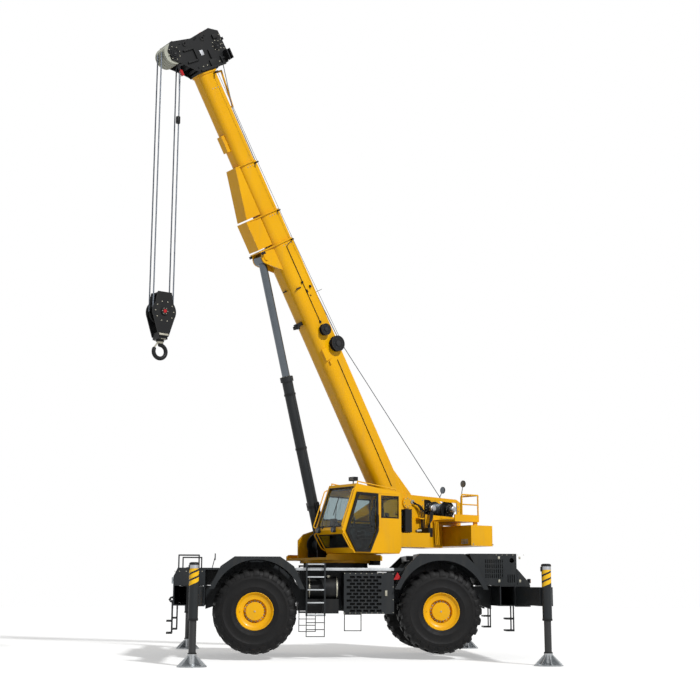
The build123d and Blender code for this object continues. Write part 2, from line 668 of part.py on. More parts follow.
def cab_console():
    """Floor pedestal and sloping instrument panel in front of the chair."""
    middle = (cab_inner_l + cab_outer_l) / 2
    low = cab_floor_z + 225
    shape = box((350, 560), (middle - 300, middle + 300), (cab_floor_z, low + 5))
    panel = [(380, low), (600, low), (680, low + 295), (600, low + 335), (380, low + 235)]
    return shape + side_plate(panel, middle - 240, middle + 240)


def hoist(a, z):
    """A winch drum between its flanges, with end motors and a cradle."""
    half, flange = drum_half_length, 30
    shape = cross_bar(a, z, -half, half, drum_radius)
    for l in (-half - flange, half):
        shape += cross_bar(a, z, l, l + flange, drum_flange_radius)
    end = side_plate_inner - 4
    shape += cross_bar(a, z, -end, end, drum_radius - 40)
    shape += box((a - drum_flange_radius, a + drum_flange_radius), (-end, end), (z - 290, z - 240))
    for l in (-end, end - flange):
        shape += box((a - 120, a + 120), (l, l + flange), (z - 241, z))
    return shape


def rear_platform():
    """Walkway beside the hoists with its posts and rails."""
    inner = side_plate_inner + side_plate_thick
    x0, x1, outer, floor = -3560, -2750, 1180, 3180
    shape = box((x0, x1), (inner, outer), (floor, floor + 50))
    shape += box((x0, x1), (outer - 30, outer), (floor, floor + 170))
    shape += box((x0, x0 + 40), (inner + 150, outer), (floor, floor + 170))
    y = outer - 15
    top = floor + 660
    post, low, rail_end = x0 + 20, floor + 160, x1 - 250
    shape += tube_path([(post, y, low), (post, y, top), (rail_end, y, top), (rail_end, y, low)], 20)
    shape += bar((post, y, floor + 420), (rail_end, y, floor + 420), 16)
    shape += tube_path([(post, y, top), (post, inner + 200, top), (post, inner + 200, low)], 20)
    return shape


def upper_fittings():
    """Work light on the roof, cabinet behind the cab and the two rear mirrors, all dark."""
    light_a = 370
    light_z = roof_z(light_a) + 120
    light_l = cab_outer_l - 435
    shape = box((light_a - 60, light_a + 60), (light_l - 100, light_l + 100), (light_z, light_z + 90))
    shape += bar((light_a, light_l, light_z - 115), (light_a, light_l, light_z + 5), 14)
    cabinet_front, cabinet_l = cab_rear_a - 210, cab_outer_l - 205
    cabinet = box((cabinet_front - 220, cabinet_front), (cabinet_l - 105, cabinet_l + 105), (2860, 3390))
    shape += fillet(cabinet.edges().filter_by(Axis.Z), 40)
    for z in (2960, 3240):
        shape += box((cabinet_front - 20, cab_rear_a), (cabinet_l - 20, cabinet_l + 20), (z, z + 40))
    shape += mirror_on_stalk((-3010, side_plate_inner + 15, foot_z + 166), (-3040, 420, 3990), 85)
    shape += mirror_on_stalk((-3000, 1165, 3861), (-3020, 1200, 4100), 85)
    return shape


# ---- boom (along X from the foot pin) -------------------------------------------------------------
def section_tube(name):
    width, top, bottom, rear, front = boom_sections[name][:5]
    inner = section_bar(width - 2 * boom_wall, top - boom_wall, bottom + boom_wall, rear - 1, front + 1)
    return section_bar(width, top, bottom, rear, front) - inner


def collar(name, drop):
    """Flange round a section's nose, with a tapered plate below it."""
    width, top, bottom, _, front = boom_sections[name][:5]
    rear = front - collar_thick
    half = width / 2 + collar_reach
    shape = section_bar(2 * half, top - 90, bottom - collar_reach, rear, front)
    if drop:
        plate = [(-half + 60, bottom + 60), (-keel_half_width, bottom - drop), (keel_half_width, bottom - drop),
                 (half - 60, bottom + 60)]
        shape += extrude(Plane.YZ.offset(rear) * Polygon(*plate, align=None), collar_thick)
    return shape - section_bar(width - 8, top - 4, bottom + 4, rear - 1, front + 1)


def keel(name, front_drop):
    """Deep box under a section, from behind its nose back to the nose of the section it slides in."""
    width, _, bottom, _, front, keel_rear, rear_drop = boom_sections[name]
    outline = [(keel_rear, bottom + 5), (keel_rear, bottom - rear_drop), (front, bottom - front_drop),
               (front, bottom + 5)]
    half = keel_half_width
    shape = side_plate(outline, -half, half)
    inside = [(keel_rear - 1, bottom + 6), (keel_rear - 1, bottom - rear_drop + 15),
              (front - collar_thick, bottom - front_drop + 15), (front - collar_thick, bottom + 6)]
    return shape - side_plate(inside, -half + 20, half - 20)


def boom_base():
    name = "boom_base_section"
    width, top, bottom, rear, front = boom_sections[name][:5]
    shape = section_tube(name) + collar(name, base_nose_drop)
    shape += both_sides(cross_bar(0, 0, width / 2 - boom_wall + 1, side_plate_inner - 6, foot_pin_radius + 60))
    heel = [(-150, top - 5), (-60, top + 170), (90, top + 200), (900, top - 5)]
    shape += both_sides(side_plate(heel, width / 2 - 55, width / 2 - 30))
    cover = [heel[1], heel[2], heel[3], (820, top - 5), (90, top + 180), (-60, top + 150)]
    shape += side_plate(cover, -width / 2 + 35, width / 2 - 35)
    shape -= cross_bar(0, 0, -400, 400, foot_pin_radius + running_gap)
    y0 = lift_eye_half + 10
    y1 = y0 + lift_lug_thick
    x = lift_eye_x
    cheek = [(x - 420, bottom + 30), (x - 120, lift_eye_z - 60), (x + 60, lift_eye_z - 120),
             (front - collar_thick + 5, lift_eye_z - 60), (front - collar_thick + 5, bottom + 30)]
    shape += both_sides(side_plate(cheek, y0, y1) + cross_bar(x, lift_eye_z, y0, y1, 125))
    shape += cross_bar(x, lift_eye_z, -y1 - 25, y1 + 25, lift_pin_radius)
    for hoop_x in (front - 5580, front - 3780, front - 1880):
        shape += box((hoop_x, hoop_x + 40), (-60, 60), (top - 5, top + 70))
    return shape


def mid_section(name, front_drop):
    return section_tube(name) + collar(name, front_drop) + keel(name, front_drop)


def boom_fly():
    """Fly section with its nose plate, hose bracket and rope guard."""
    name = "boom_fly_section"
    width, top, bottom, _, front = boom_sections[name][:5]
    shape = section_tube(name)
    shape += box((front - 1900, front - 1500), (-90, 90), (bottom - 90, bottom + 5))
    shape += tube_path([(front - 60, 0, top - 10), (front - 60, 0, top + 310), (front - 930, 0, top + 200),
                        (front - 930, 0, top - 10)], 24)
    nose = section_bar(width + 50, top + 25, bottom - 25, front - 40, front)
    nose -= section_bar(width - 8, top - 4, bottom + 4, front - 41, front + 1)
    return shape + nose


def boom_head():
    """Head plates, their spacers, sheave pins and the lugs for an extension."""
    y0, y1 = head_inner, head_inner + head_plate
    x, z, fly_end = nose_sheave_x, nose_sheave_z, boom_sections["boom_fly_section"][4]
    outline = [(fly_end + 1, 40), (fly_end + 60, 470), (x - 320, 560), (x + 200, 540), (x + 320, 300),
               (x + 210, -300), (x + 270, z + 20), (x + 110, z - 130), (x - 120, z - 130), (x - 300, z + 120),
               (fly_end + 60, -440), (fly_end + 1, -400)]
    plate = side_plate(outline, y0, y1)
    for hole_z in (jib_pin_upper_z, jib_pin_lower_z):
        plate += cross_bar(jib_pin_x, hole_z, y1 - 1, y1 + 14, jib_pin_bore + 30)
        plate -= cross_bar(jib_pin_x, hole_z, y0 - 1, y1 + 15, jib_pin_bore)
    for lug_z in (430, 520):
        plate += box((fly_end + 90, fly_end + 330), (y0, y1 + 150), (lug_z, lug_z + 28))
    shape = both_sides(plate)
    shape += box((fly_end + 1, fly_end + 60), (-y0 - 10, y0 + 10), (-400, 20))
    shape += box((fly_end + 120, x - 60), (-y0 - 10, y0 + 10), (60, 90))
    shape += box((fly_end + 60, x - 400), (-y0 - 10, y0 + 10), (-330, -300))
    shape += cross_bar(x + 160, 480, -y0 - 10, y0 + 10, 40)
    for pin_x, pin_z in ((x, z), (top_sheave_x, top_sheave_z)):
        shape += cross_bar(pin_x, pin_z, -y1 - 16, y1 + 16, sheave_pin_radius)
    return shape


def sheave(x, z, l, radius):
    """A grooved rope wheel."""
    half, groove = 34, rope_radius + 4
    profile = [(0, -half), (radius + 14, -half), (radius + 14, -half + 12), (radius, -groove / 2), (radius, groove / 2),
               (radius + 14, half - 12), (radius + 14, half), (0, half)]
    return Pos(x, l, z) * revolve(Plane.XY * Polygon(*profile, align=None), Axis.Y)


def head_sheaves():
    shape = Part()
    for x, z, radius, places in ((nose_sheave_x, nose_sheave_z, nose_sheave_radius, (-180, -90, 0, 90, 180)),
                                 (top_sheave_x, top_sheave_z, top_sheave_radius, (-60, 60))):
        row = cross_bar(x, z, -head_inner + 5, head_inner - 5, 75)
        for l in places:
            row += sheave(x, z, l, radius)
        shape += row - cross_bar(x, z, -head_inner, head_inner, sheave_pin_radius + running_gap)
    return shape


def boom_fittings():
    """Two cable reels on the left of the base section and the lamps under its nose."""
    width, _, bottom, _, front = boom_sections["boom_base_section"][:5]
    y0 = width / 2
    shape = Part()
    for x, z, radius in ((front - 2330, -190, 140), (front - 2770, -30, 190)):
        shape += cross_bar(x, z, y0, y0 + 45, radius / 3)
        shape += cross_bar(x, z, y0 + 40, y0 + 60, radius) + cross_bar(x, z, y0 + 120, y0 + 140, radius)
        shape += cross_bar(x, z, y0 + 55, y0 + 125, 0.72 * radius)
    lamp_z = bottom - base_nose_drop + 55
    for l in (-255, 255):
        shape += box((front - 90, front - 30), (l - 45, l + 45), (lamp_z - 35, lamp_z + 35))
    return shape


def lift_cylinder_rod():
    half, eye_radius = lift_eye_half, 130
    shape = bar((lift_length - barrel_length, 0, 0), (lift_length - eye_radius + 30, 0, 0), rod_radius)
    shape += cross_bar(lift_length, 0, -half, half, eye_radius)
    return shape - cross_bar(lift_length, 0, -half - 1, half + 1, lift_pin_radius + running_gap)


def lift_cylinder_barrel():
    half, neck = lift_eye_half, 120
    shape = bar((0, 0, 0), (barrel_length - 5, 0, 0), barrel_radius)
    shape += bar((barrel_length - neck, 0, 0), (barrel_length, 0, 0), barrel_radius + 27)
    shape += cross_bar(0, 0, -half, half, barrel_radius + 34)
    shape += bar((400, barrel_radius - 5, 0), (barrel_length - 350, barrel_radius - 5, 0), 18)
    return shape - bar((barrel_radius + 47, 0, 0), (barrel_length + 1, 0, 0), rod_radius + rod_gap)


# ---- hook, hanging plumb from the nose sheaves ----------------------------------------------------
def hoist_ropes():
    ropes = Part()
    for a in (-rope_reach, rope_reach):
        for l in (-rope_half_spacing, rope_half_spacing):
            ropes += bar((nose_a + a, l, hook_block_top - block_drop), (nose_a + a, l, nose_z), rope_radius)
    return ropes


def hook_block():
    """Round cheek plates over two sheaves, with a trunnion below."""
    z0, z1, zc = hook_block_bottom, hook_block_top, hook_block_top - block_drop
    cheek = [(-280, zc - 70), (-120, z0), (120, z0), (280, zc - 70), (170, z1), (-170, z1)]
    outline = [(nose_a + a, z) for a, z in cheek]
    plate = side_plate(outline, 135, 165) + cross_bar(nose_a, zc, 135, 165, 290)
    plate += cross_bar(nose_a, zc, 164, 190, 90)
    shape = both_sides(plate)
    shape += cross_bar(nose_a, zc, -166, 166, sheave_pin_radius)
    for l in (-rope_half_spacing, rope_half_spacing):
        shape += sheave(nose_a, zc, l, nose_sheave_radius)
    shape += box((nose_a - 110, nose_a + 110), (-140, 140), (z0 - 60, z0 + 90))
    shape += box((nose_a - 160, nose_a + 160), (-140, 140), (z1 - 50, z1 - 15))
    return shape


def hook():
    """A forged hook: shank, bowl open to one side, and a tip."""
    top = hook_block_bottom - 65
    centre = top - hook_shank - hook_bowl_radius
    shape = bar((nose_a, 0, centre + hook_bowl_radius), (nose_a, 0, top), hook_thick)
    path = Pos(nose_a, 0, centre) * (Plane.XZ * CenterArc((0, 0), hook_bowl_radius, 90, 290))
    section = Plane(origin=path @ 0, z_dir=path % 0) * Circle(hook_thick)
    shape += sweep(section, path)
    shape += Pos(*(path @ 1)) * Sphere(hook_thick)
    shape += Pos(*(path @ 0)) * Sphere(hook_thick)
    shape += bar((nose_a, 0, top - 40), (nose_a, 0, top), 90)
    return shape


# ---- all nodes ------------------------------------------------------------------------------------
nodes["carrier_frame"] = carrier_frame()
nodes["front_outrigger_box"] = outrigger_box(outrigger_front_x) + front_deck_box() + tow_lugs()
nodes["rear_outrigger_box"] = outrigger_box(outrigger_rear_x) + rear_gussets()
nodes["front_lamps"] = front_lamps()
nodes["fenders"] = fenders()
nodes["deck_plate"] = deck()
nodes["slew_bearing"] = slew_bearing()
nodes["engine_hood"] = engine_hood()
nodes["engine_block"] = engine_block()
nodes["left_side_box"] = left_side_box()
nodes["left_tanks"] = left_tanks()
nodes["right_side_box"] = right_side_box()
nodes["steps_and_rails"] = steps_and_rails()
nodes["front_axle"] = axle(front_axle_x)
nodes["rear_axle"] = axle(rear_axle_x)

plain_tyre = tyre_shape()
for side_name, side in (("left", 1), ("right", -1)):
    for end_name, axle_x, box_x in (("front", front_axle_x, outrigger_front_x),
                                    ("rear", rear_axle_x, outrigger_rear_x)):
        place = f"{side_name}_{end_name}"
        beam_x = box_x - side * beam_offset
        nodes[f"{place}_knuckle"] = knuckle(axle_x, side)
        nodes[f"{place}_rim"] = rim(axle_x, side)
        nodes[f"{place}_tyre"] = Pos(axle_x, side * tyre_y, axle_z) * plain_tyre
        nodes[f"{place}_outrigger_beam"] = outrigger_beam(beam_x, side)
        nodes[f"{place}_jack"] = jack(beam_x, side)

upper_nodes = {
    "upper_frame": upper_frame(),
    "lift_foot_bracket": lift_foot_bracket(),
    "counterweight": counterweight(),
    "cab_shell": cab_shell(),
    "cab_windows": cab_windows(),
    "operator_chair": operator_chair(),
    "cab_console": cab_console(),
    "hoists": hoist(*hoist_places[0]) + hoist(*hoist_places[1]),
    "rear_platform": rear_platform(),
    "upper_fittings": upper_fittings(),
    "cab_door": cab_door(),
    "cab_door_glass": door_glass(),
    "hoist_ropes": hoist_ropes(),
    "hook_block": hook_block(),
    "hook": hook(),
}
boom_nodes = {
    "boom_base_section": boom_base(),
    "boom_inner_mid_section": mid_section("boom_inner_mid_section", 430),
    "boom_outer_mid_section": mid_section("boom_outer_mid_section", 120),
    "boom_fly_section": boom_fly(),
    "boom_head": boom_head(),
    "head_sheaves": head_sheaves(),
    "boom_fittings": boom_fittings(),
}
for name, shape in upper_nodes.items():
    nodes[name] = slew_place * shape
for name, shape in boom_nodes.items():
    nodes[name] = boom_place * shape
nodes["lift_cylinder_rod"] = lift_place * lift_cylinder_rod()
nodes["lift_cylinder_barrel"] = lift_place * lift_cylinder_barrel()

for name, shape in nodes.items():
    export_step(shape, f"parts/{name}.step")
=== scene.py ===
import json
import math

import bmesh
import bpy
from mathutils import Matrix, Vector

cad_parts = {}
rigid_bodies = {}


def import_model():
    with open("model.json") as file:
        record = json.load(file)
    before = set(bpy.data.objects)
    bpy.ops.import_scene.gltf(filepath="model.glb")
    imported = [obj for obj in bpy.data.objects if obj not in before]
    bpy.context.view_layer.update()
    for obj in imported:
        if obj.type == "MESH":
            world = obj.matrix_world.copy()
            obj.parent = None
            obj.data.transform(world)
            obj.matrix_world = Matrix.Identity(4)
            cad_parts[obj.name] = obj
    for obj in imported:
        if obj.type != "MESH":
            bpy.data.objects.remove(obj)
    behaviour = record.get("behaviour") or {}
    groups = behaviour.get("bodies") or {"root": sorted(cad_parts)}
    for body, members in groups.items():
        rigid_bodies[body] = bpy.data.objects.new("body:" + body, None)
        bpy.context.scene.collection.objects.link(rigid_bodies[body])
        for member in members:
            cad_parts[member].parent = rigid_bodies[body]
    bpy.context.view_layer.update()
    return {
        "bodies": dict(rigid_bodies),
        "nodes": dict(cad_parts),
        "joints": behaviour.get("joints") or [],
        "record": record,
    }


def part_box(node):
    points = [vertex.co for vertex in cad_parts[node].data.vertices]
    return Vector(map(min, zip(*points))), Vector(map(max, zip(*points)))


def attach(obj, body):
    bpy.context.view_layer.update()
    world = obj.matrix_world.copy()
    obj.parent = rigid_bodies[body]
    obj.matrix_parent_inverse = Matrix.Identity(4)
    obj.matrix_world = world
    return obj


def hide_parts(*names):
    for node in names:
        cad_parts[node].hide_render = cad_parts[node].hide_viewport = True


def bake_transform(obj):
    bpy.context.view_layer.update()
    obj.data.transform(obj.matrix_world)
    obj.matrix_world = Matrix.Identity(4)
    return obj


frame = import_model()
joints = {joint["name"]: joint for joint in frame["record"]["behaviour"]["joints"]}
ends = ["left_front", "left_rear", "right_front", "right_rear"]
bothSides = (-1, 1)
print("frame loaded:", len(frame["nodes"]), "nodes")


def placeFrom(along, left, origin):
    up = along.cross(left)
    place = Matrix((along, left, up)).transposed().to_4x4()
    place.translation = origin
    return place


def at(x, y, z):
    return Matrix.Translation((x, y, z))


# the carrier, the upper works, the boom, the lift cylinder and the hanging tackle each have a place,
# with x along, y to the left and z up, found from the joints
liftFoot = (0.420, 0, 2.556)
upperLeft = -Vector(joints["boom_lift"]["axis"])
upperPlace = placeFrom(upperLeft.cross(Vector((0, 0, 1))), upperLeft, Vector((0, 0, 0)))
boomPlace = placeFrom(Vector(joints["inner_mid_telescope"]["axis"]), upperLeft,
                      Vector(joints["boom_lift"]["pos_m"]))
liftPlace = placeFrom(-Vector(joints["lift_cylinder_stroke"]["axis"]), upperLeft,
                      upperPlace @ Vector(liftFoot))
hookCentre = Vector(joints["hook_turn"]["pos_m"])
tacklePlace = placeFrom(upperPlace.col[0].to_3d(), upperLeft, Vector((hookCentre.x, hookCentre.y, 0)))
carrierPlace = Matrix.Identity(4)
upright = Matrix.Rotation(math.pi / 2, 4, "X")  # stands a turned shape up
lengthways = Matrix.Rotation(-math.pi / 2, 4, "Z")  # lays a turned shape along


def linear(hexColour):
    channels = [int(hexColour[i:i + 2], 16) / 255 for i in (1, 3, 5)]
    return [c / 12.92 if c <= 0.04045 else ((c + 0.055) / 1.055) ** 2.4 for c in channels] + [1.0]


def addNode(tree, kind, values=None, links=None, **settings):
    node = tree.nodes.new(kind)
    for name, value in settings.items():
        setattr(node, name, value)
    for socket, value in (values or {}).items():
        node.inputs[socket].default_value = value
    for socket, source in (links or {}).items():
        tree.links.new(source, node.inputs[socket])
    return node


def startMaterial(name):
    material = bpy.data.materials.new(name)
    material.use_nodes = True
    tree = material.node_tree
    tree.nodes.clear()
    return material, tree, addNode(tree, "ShaderNodeTexCoord").outputs["Object"]


def finishMaterial(tree, values, links):
    shader = addNode(tree, "ShaderNodeBsdfPrincipled", values, links)
    addNode(tree, "ShaderNodeOutputMaterial", links={"Surface": shader.outputs[0]})


# a grain, cloud or streak of a real size in millimetres
def grainOf(tree, coords, millimetres, detail=3.0, stretch=(1, 1, 1)):
    scaled = addNode(tree, "ShaderNodeMapping", {"Scale": stretch}, {"Vector": coords})
    return addNode(tree, "ShaderNodeTexNoise", {"Scale": 1000 / millimetres, "Detail": detail},
                   {"Vector": scaled.outputs[0]}).outputs[0]


# patches of a stain over a colour, or over what an earlier stain left
def stained(tree, grain, base, stain, start, full, most):
    patches = addNode(tree, "ShaderNodeMapRange",
                      {"From Min": start, "From Max": full, "To Min": 0, "To Max": most}, {"Value": grain})
    values, links = {7: linear(stain)}, {0: patches.outputs[0]}
    if isinstance(base, str):
        values[6] = linear(base)
    else:
        links[6] = base
    return addNode(tree, "ShaderNodeMix", values, links, data_type="RGBA").outputs[2]


# roughness that follows one grain, and a bump of another
def weathered(tree, roughGrain, smoothest, roughest, start, full, bumpGrain, strength, depth):
    rough = addNode(tree, "ShaderNodeMapRange",
                    {"From Min": start, "From Max": full, "To Min": smoothest, "To Max": roughest},
                    {"Value": roughGrain})
    bump = addNode(tree, "ShaderNodeBump", {"Strength": strength, "Distance": depth}, {"Height": bumpGrain})
    return {"Roughness": rough.outputs[0], "Normal": bump.outputs[0]}


def enamel(name, colour, shade, dust, roughness, dustAmount=0.3, peel=9, coat=0.1):
    material, tree, coords = startMaterial(name)
    # whole panels differ a little
    base = stained(tree, grainOf(tree, coords, 1400), colour, shade, 0.3, 0.7, 1)
    rain = grainOf(tree, coords, 160, 5, (1, 1, 0.12))  # marks run down
    base = stained(tree, rain, base, dust, 0.52, 0.8, 0.22)
    normal = addNode(tree, "ShaderNodeNewGeometry").outputs["Normal"]
    upward = addNode(tree, "ShaderNodeSeparateXYZ", links={"Vector": normal}).outputs["Z"]
    lying = addNode(tree, "ShaderNodeMapRange",
                    {"From Min": 0.4, "From Max": 1, "To Min": 0, "To Max": dustAmount},
                    {"Value": upward})  # dust lies on what faces up
    grit = addNode(tree, "ShaderNodeMapRange",
                   {"From Min": 0.35, "From Max": 0.65, "To Min": 0.3, "To Max": 1},
                   {"Value": grainOf(tree, coords, 45, 6)}).outputs[0]
    film = addNode(tree, "ShaderNodeMath", links={0: lying.outputs[0], 1: grit}, operation="MULTIPLY")
    dusty = addNode(tree, "ShaderNodeMix", {7: linear(dust)}, {0: film.outputs[0], 6: base}, data_type="RGBA")
    # orange peel: the real one is 2 mm or finer, drawn coarser so that it shows
    wear = weathered(tree, grit, roughness, roughness + 0.12, 0.3, 1, grainOf(tree, coords, peel, 2), 0.06,
                     0.001)
    finishMaterial(tree, {"Coat Weight": coat, "Coat Roughness": 0.12, "Specular IOR Level": 0.2},
                   {"Base Color": dusty.outputs[2], **wear})
    return material


def rubber(name, colour, dust, roughness, grain, dustAmount):
    material, tree, coords = startMaterial(name)
    base = stained(tree, grainOf(tree, coords, 260, 6), colour, dust, 0.42, 0.72, dustAmount)
    wear = weathered(tree, grainOf(tree, coords, 90), roughness - 0.1, roughness + 0.1, 0.3, 0.7,
                     grainOf(tree, coords, grain, 5), 0.35, 0.0015)
    finishMaterial(tree, {"Specular IOR Level": 0.2}, {"Base Color": base, **wear})
    return material


def bareMetal(name, colour, stain, roughness, grain, stretch=(1, 1, 1), bump=0.15):
    material, tree, coords = startMaterial(name)
    base = stained(tree, grainOf(tree, coords, 120, 5), colour, stain, 0.45, 0.75, 0.5)
    lines = grainOf(tree, coords, grain, 3, stretch)
    wear = weathered(tree, lines, roughness, roughness + 0.15, 0.3, 0.7, lines, bump, 0.0005)
    finishMaterial(tree, {"Metallic": 1.0}, {"Base Color": base, **wear})
    return material


def plastic(name, colour, shade, roughness, grain):
    material, tree, coords = startMaterial(name)
    base = stained(tree, grainOf(tree, coords, 220), colour, shade, 0, 1, 1)
    wear = weathered(tree, grainOf(tree, coords, 60), roughness - 0.06, roughness + 0.08, 0.3, 0.7,
                     grainOf(tree, coords, grain, 2), 0.2, 0.0006)
    finishMaterial(tree, {"Specular IOR Level": 0.3}, {"Base Color": base, **wear})
    return material


def glass(name, tint, transmission, roughness):
    material, tree, coords = startMaterial(name)
    smear = addNode(tree, "ShaderNodeMapRange",
                    {"From Min": 0.5, "From Max": 0.8, "To Min": roughness, "To Max": roughness + 0.08},
                    {"Value": grainOf(tree, coords, 300, 6)})  # wiped dust
    finishMaterial(tree, {"Base Color": linear(tint), "Transmission Weight": transmission, "IOR": 1.3,
                          "Specular IOR Level": 0.3}, {"Roughness": smear.outputs[0]})
    return material


# a jack is black enamel above, and its float below is dipped in zinc
def jackFinish(name, joinHeight):
    material, tree, coords = startMaterial(name)
    height = addNode(tree, "ShaderNodeSeparateXYZ", links={"Vector": coords}).outputs["Z"]
    isRod = addNode(tree, "ShaderNodeMath", {1: joinHeight}, {0: height}, operation="GREATER_THAN").outputs[0]
    cloud = grainOf(tree, coords, 60, 5)
    zinc = stained(tree, cloud, "#C3C6C8", "#7D8083", 0, 1, 1)
    base = stained(tree, isRod, zinc, "#17181A", 0, 1, 1)
    metal = addNode(tree, "ShaderNodeMapRange", {"From Min": 0, "From Max": 1, "To Min": 1, "To Max": 0},
                    {"Value": isRod}).outputs[0]
    wear = weathered(tree, cloud, 0.32, 0.5, 0.3, 0.7, cloud, 0.2, 0.001)
    finishMaterial(tree, {}, {"Base Color": base, "Metallic": metal, **wear})
    return material


# Two-pack polyurethane enamel, sprayed on steel: glossy, faint orange peel, dusty where it faces up
craneYellow = enamel("polyurethane_enamel_yellow", "#EDB003", "#E5A602", "#A98B52", 0.28)
# The same enamel in charcoal, on the carrier and its outriggers: a little duller
charcoalEnamel = enamel("polyurethane_enamel_charcoal", "#232629", "#1E2123", "#4A4740", 0.40, 0.26)
# Satin black enamel, brushed on castings and the boom's nose: no gloss, its shape stays in shadow
blackEnamel = enamel("satin_enamel_black", "#141517", "#101112", "#3E3B36", 0.46, 0.18, 14, 0.05)
# Anodised aluminium, drawn, of plates and motor housings: fine lines along it
anodisedAluminium = bareMetal("anodised_aluminium_drawn", "#A9ABAF", "#8C8C8C", 0.38, 30, (0.05, 1, 1))
# Hot-dip galvanised steel of the treads and the deck's edge: cloudy zinc
galvanisedSteel = bareMetal("galvanised_steel_dipped", "#B4B7B9", "#84878A", 0.42, 26)
# Hard chrome, ground and polished: sharp reflections, its colour darkened as a painted reflection of dark
# surroundings
hardChromePaintedDark = bareMetal("hard_chrome_painted_dark_reflection", "#62686E", "#585E64", 0.17, 6, (1, 1, 1), 0.03)
# Zinc-plated screws and nuts: dull, slightly yellowed
zincPlate = bareMetal("zinc_plated_steel", "#A5A294", "#6F6B5E", 0.40, 8)
# Drawn and oiled rope wire: dark grey with a greasy film
ropeWire = bareMetal("drawn_wire_oiled", "#6E747C", "#3B3D40", 0.42, 5)
# Natural rubber with carbon black, moulded: near black and dull, road dust in its grain
tyreRubber = rubber("natural_rubber_moulded", "#0C0C0D", "#2A2724", 0.56, 5, 0.12)
# EPDM of seals and hoses, extruded: even black, dull
sealRubber = rubber("epdm_rubber_extruded", "#141415", "#3C3A37", 0.62, 3, 0.25)
# Cast nylon of the rope sheaves, turned: waxy cream-grey
castNylon = plastic("cast_nylon_turned", "#B7B8AC", "#A3A597", 0.42, 4)
# ABS mouldings in the cab and of the lamps' housings: grained black
blackPlastic = plastic("abs_plastic_grained", "#1A1B1D", "#222426", 0.55, 3)
# PVC-coated fabric of the seat, calendered: soft grey with a fine leather grain
seatVinyl = plastic("pvc_coated_fabric", "#2A2D31", "#34383C", 0.60, 4)
# Laminated safety glass, tinted: grey-green, clear through, smooth outside
cabGlass = glass("laminated_glass_tinted", "#B8C4C6", 1.0, 0.0)
# Moulded polycarbonate of the lamps' lenses: clear, red and amber, glossy
clearLens = glass("polycarbonate_lens_clear", "#E8ECEE", 0.85, 0.04)
redLens = plastic("polycarbonate_lens_red", "#C01B22", "#A8161C", 0.16, 12)
amberLens = plastic("polycarbonate_lens_amber", "#E8780E", "#D66B0A", 0.16, 12)
# Retro-reflective film of the jacks' stripes: smooth and bright
stripeFilm = plastic("reflective_film_yellow", "#F6C21A", "#EDB613", 0.34, 2)
jackPaint = jackFinish("jack_black_enamel_over_dipped_float", 0.2625)
print("materials ready:", len(bpy.data.materials))

nodeFinish = {
    craneYellow: ["upper_frame", "counterweight", "cab_shell", "rear_platform", "boom_base_section",
                  "boom_inner_mid_section", "boom_outer_mid_section", "boom_fly_section"],
    charcoalEnamel: ["carrier_frame", "front_outrigger_box", "rear_outrigger_box", "fenders", "deck_plate",
                     "engine_hood", "left_side_box", "right_side_box", "steps_and_rails",
                     "lift_cylinder_barrel"] + [f"{end}_outrigger_beam" for end in ends],
    blackEnamel: ["cab_door", "slew_bearing", "engine_block", "front_axle", "rear_axle", "hoists",
                  "boom_head", "hook_block", "hook", "lift_foot_bracket", "boom_fittings", "upper_fittings",
                  "left_tanks"] + [f"{end}_knuckle" for end in ends],
    hardChromePaintedDark: ["lift_cylinder_rod"],
    castNylon: ["head_sheaves"],
    cabGlass: ["cab_windows", "cab_door_glass"],
    clearLens: ["front_lamps"],
    blackPlastic: ["cab_console", "operator_chair"],
    jackPaint: [f"{end}_jack" for end in ends],
}
for material, names in nodeFinish.items():
    for name in names:
        for slot in frame["nodes"][name].material_slots:
            slot.material = material


pole = 0.0001  # a turned solid's profile begins and ends this close to its axis


def linked(name, data):
    piece = bpy.data.objects.new(name, data)
    bpy.context.collection.objects.link(piece)
    return piece


# metres, degrees and millimetres of lens
view = {"position": (2.436, 29.529, 1.630), "yaw": 5.350, "pitch": 10.814, "roll": 0.169, "lens": 63.39}


def makeCamera():
    yaw, pitch, roll = (math.radians(view[name]) for name in ("yaw", "pitch", "roll"))
    forward = Vector((-math.sin(yaw) * math.cos(pitch), -math.cos(yaw) * math.cos(pitch), math.sin(pitch)))
    right = forward.cross(Vector((0, 0, 1))).normalized()
    up = right.cross(forward)
    right, up = right * math.cos(roll) + up * math.sin(roll), up * math.cos(roll) - right * math.sin(roll)
    data = bpy.data.cameras.new("camera")
    data.lens, data.sensor_width, data.clip_end = view["lens"], 36, 300
    camera = linked("camera", data)
    camera.matrix_world = at(*view["position"]) @ Matrix((right, up, -forward)).transposed().to_4x4()
    bpy.context.scene.camera = camera


studio = {"surround": 0.20, "floorGlow": 0.40, "floorHalf": 60,
          "key": {"strength": 2.75, "toward": (-0.42, 0.72, 0.62), "softness": 5},
          "fill": {"strength": 0.06, "toward": (0.75, 0.60, 0.30), "softness": 40}}


# white to the eye, in mirrors and through glass, while the light that it gives is set apart
def whiteToViewer(tree, seen, lit):
    rays = addNode(tree, "ShaderNodeLightPath").outputs
    either = addNode(tree, "ShaderNodeMath", links={0: rays["Is Camera Ray"], 1: rays["Is Glossy Ray"]},
                     operation="MAXIMUM")
    either = addNode(tree, "ShaderNodeMath", links={0: either.outputs[0], 1: rays["Is Transmission Ray"]},
                     operation="MAXIMUM")
    return addNode(tree, "ShaderNodeMapRange", {"From Min": 0, "From Max": 1, "To Min": lit, "To Max": seen},
                   {"Value": either.outputs[0]}).outputs[0]


